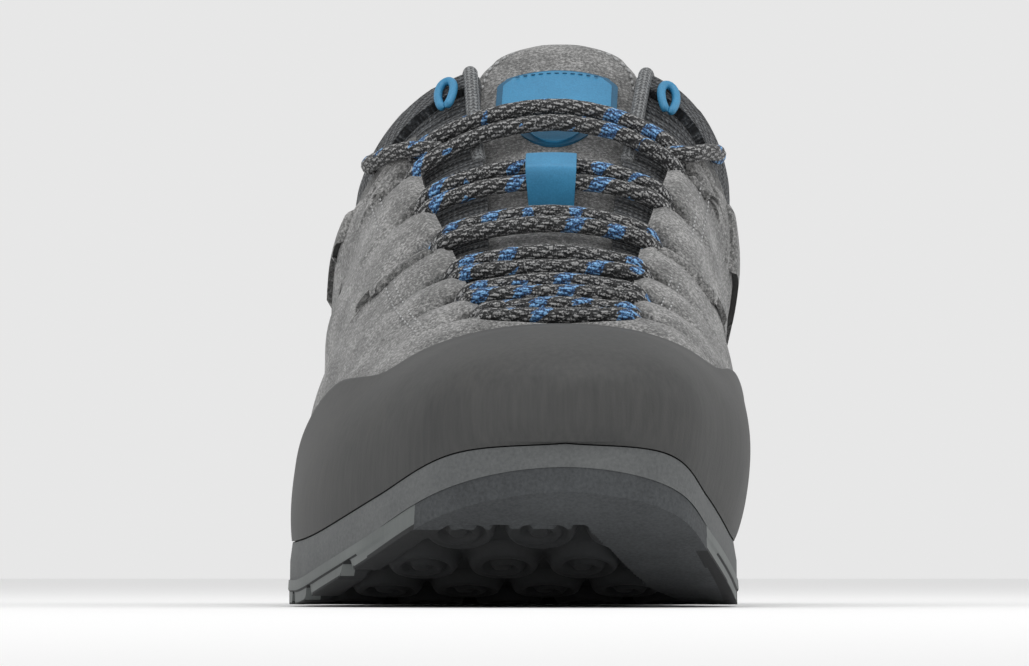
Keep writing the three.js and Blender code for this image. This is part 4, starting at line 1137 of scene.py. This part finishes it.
def make_loops():
    for name, side in SIDES.items():
        away = side * 0.27 * WIDTH
        root = over(0.568, away, CUFF_OUT + 1.3)
        up = unit(over(0.585, away) - over(0.575, away))
        out = form_normal(station_of(0.575), turn_away(station_of(0.575), away))
        wide = unit(np.cross(up, out))
        points = []
        for i in range(13):
            angle = math.pi * (0.02 + 1.96 * i / 12)
            rise = (1 - math.cos(angle)) / 2
            points.append(root + up * LOOP_HIGH * rise + wide * LOOP_WIDE / 2 * math.sin(angle) * (0.6 + 0.4 * rise))
        bm = bmesh.new()
        cord(bm, points, 1.05, around=12)
        piece(f"lace_loop_{name}_cover", bm, blue, 0, 0, [f"lace_loop_{name}"], "blue_accent", merge=0.01)


# Double stitch rows on the vamp: share of the length, distance from the crown as a share of the width
SEAMS = {
    "lateral": [[(0.53, 0.415), (0.50, 0.40), (0.46, 0.385)],
                [(0.36, 0.36), (0.32, 0.345), (0.28, 0.325), (0.24, 0.30)]],
    "medial": [[(0.535, 0.345), (0.50, 0.34), (0.45, 0.33), (0.42, 0.325)],
               [(0.35, 0.285), (0.32, 0.27), (0.28, 0.25), (0.24, 0.225)]],
}


def make_seams():
    """Stitch rows on the suede: beside the lobes, and along the quarter's top."""
    bm = bmesh.new()
    for name, side in SIDES.items():
        for row in SEAMS[name]:
            fine = np.linspace(0, len(row) - 1, 60)
            at, away = (np.interp(fine, range(len(row)), values) for values in zip(*row))
            station = station_of(at)
            for more in (0, 1.8):
                sew(bm, station, turn_away(station, side * (away * WIDTH + more)), 1.6, 2.3, 1.5, 0.24)
    for side in SIDES.values():
        station = np.linspace(station_of(0.62), station_behind(side * 14.0, 97.0), 160)
        turn = turn_on([(at, up - 0.022) for at, up in SUEDE_TOP], station, side)
        sew(bm, station, turn, -0.1, 2.8, 1.9, 0.3)
    piece("suede_stitches", bm, thread, merge=0)


make_rand()
make_heel_rubber()
make_vamp()
make_quarter()
make_cuff()
make_tongue()
make_laces()
make_sole()
make_heel_trim()
make_pull_loop()
make_loops()
make_seams()

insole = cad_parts["insole"]
insole.data.materials.clear()
insole.data.materials.append(insole_cloth)


# ---------------------------------------------------------------- floor, light and camera
# name, place, aim, size in metres, power in watts
LIGHTS = [
    ("top", (0.1, -0.5, 1.5), (0, -0.08, 0.05), 1.0, 6),
    ("front", (-0.9, -1.5, 0.7), (0, -0.15, 0.06), 0.6, 3),
    ("right", (1.5, -0.3, 0.8), (0, -0.1, 0.06), 0.6, 3),
]


def aim(made, place, target):
    made.location = place
    made.rotation_mode = "QUATERNION"
    made.rotation_quaternion = (Vector(target) - Vector(place)).to_track_quat("-Z", "Y")


def make_stage():
    bm = bmesh.new()
    bmesh.ops.create_grid(bm, x_segments=1, y_segments=1, size=6)
    mesh = bpy.data.meshes.new("floor")
    bm.to_mesh(mesh)
    bm.free()
    paper, _, shader = material("studio_paper", roughness=0.9)
    shader.inputs["Base Color"].default_value = colour("#f2f2f2")
    mesh.materials.append(paper)
    floor = place_object("floor", mesh)
    floor.location = (0, 0, -0.0005)
    world = bpy.data.worlds.new("studio")
    world.use_nodes = True
    background = world.node_tree.nodes["Background"]
    background.inputs["Color"].default_value = colour("#ffffff")
    background.inputs["Strength"].default_value = 0.8
    bpy.context.scene.world = world
    bpy.context.scene.view_settings.view_transform = "Standard"
    for name, place, target, size, power in LIGHTS:
        data = bpy.data.lights.new(name, "AREA")
        data.shape, data.size, data.energy = "DISK", size, power
        aim(place_object(name, data), place, target)


CAMERA_PLACE, CAMERA_TARGET = (0.0775, -2.235, 0.008), (0.0, -0.15, 0.0628)


def make_camera():
    data = bpy.data.cameras.new("camera")
    data.lens, data.sensor_width = 315, 36
    data.clip_start, data.clip_end = 0.1, 20
    camera = place_object("camera", data)
    aim(camera, CAMERA_PLACE, CAMERA_TARGET)
    bpy.context.scene.camera = camera


make_stage()
make_camera()
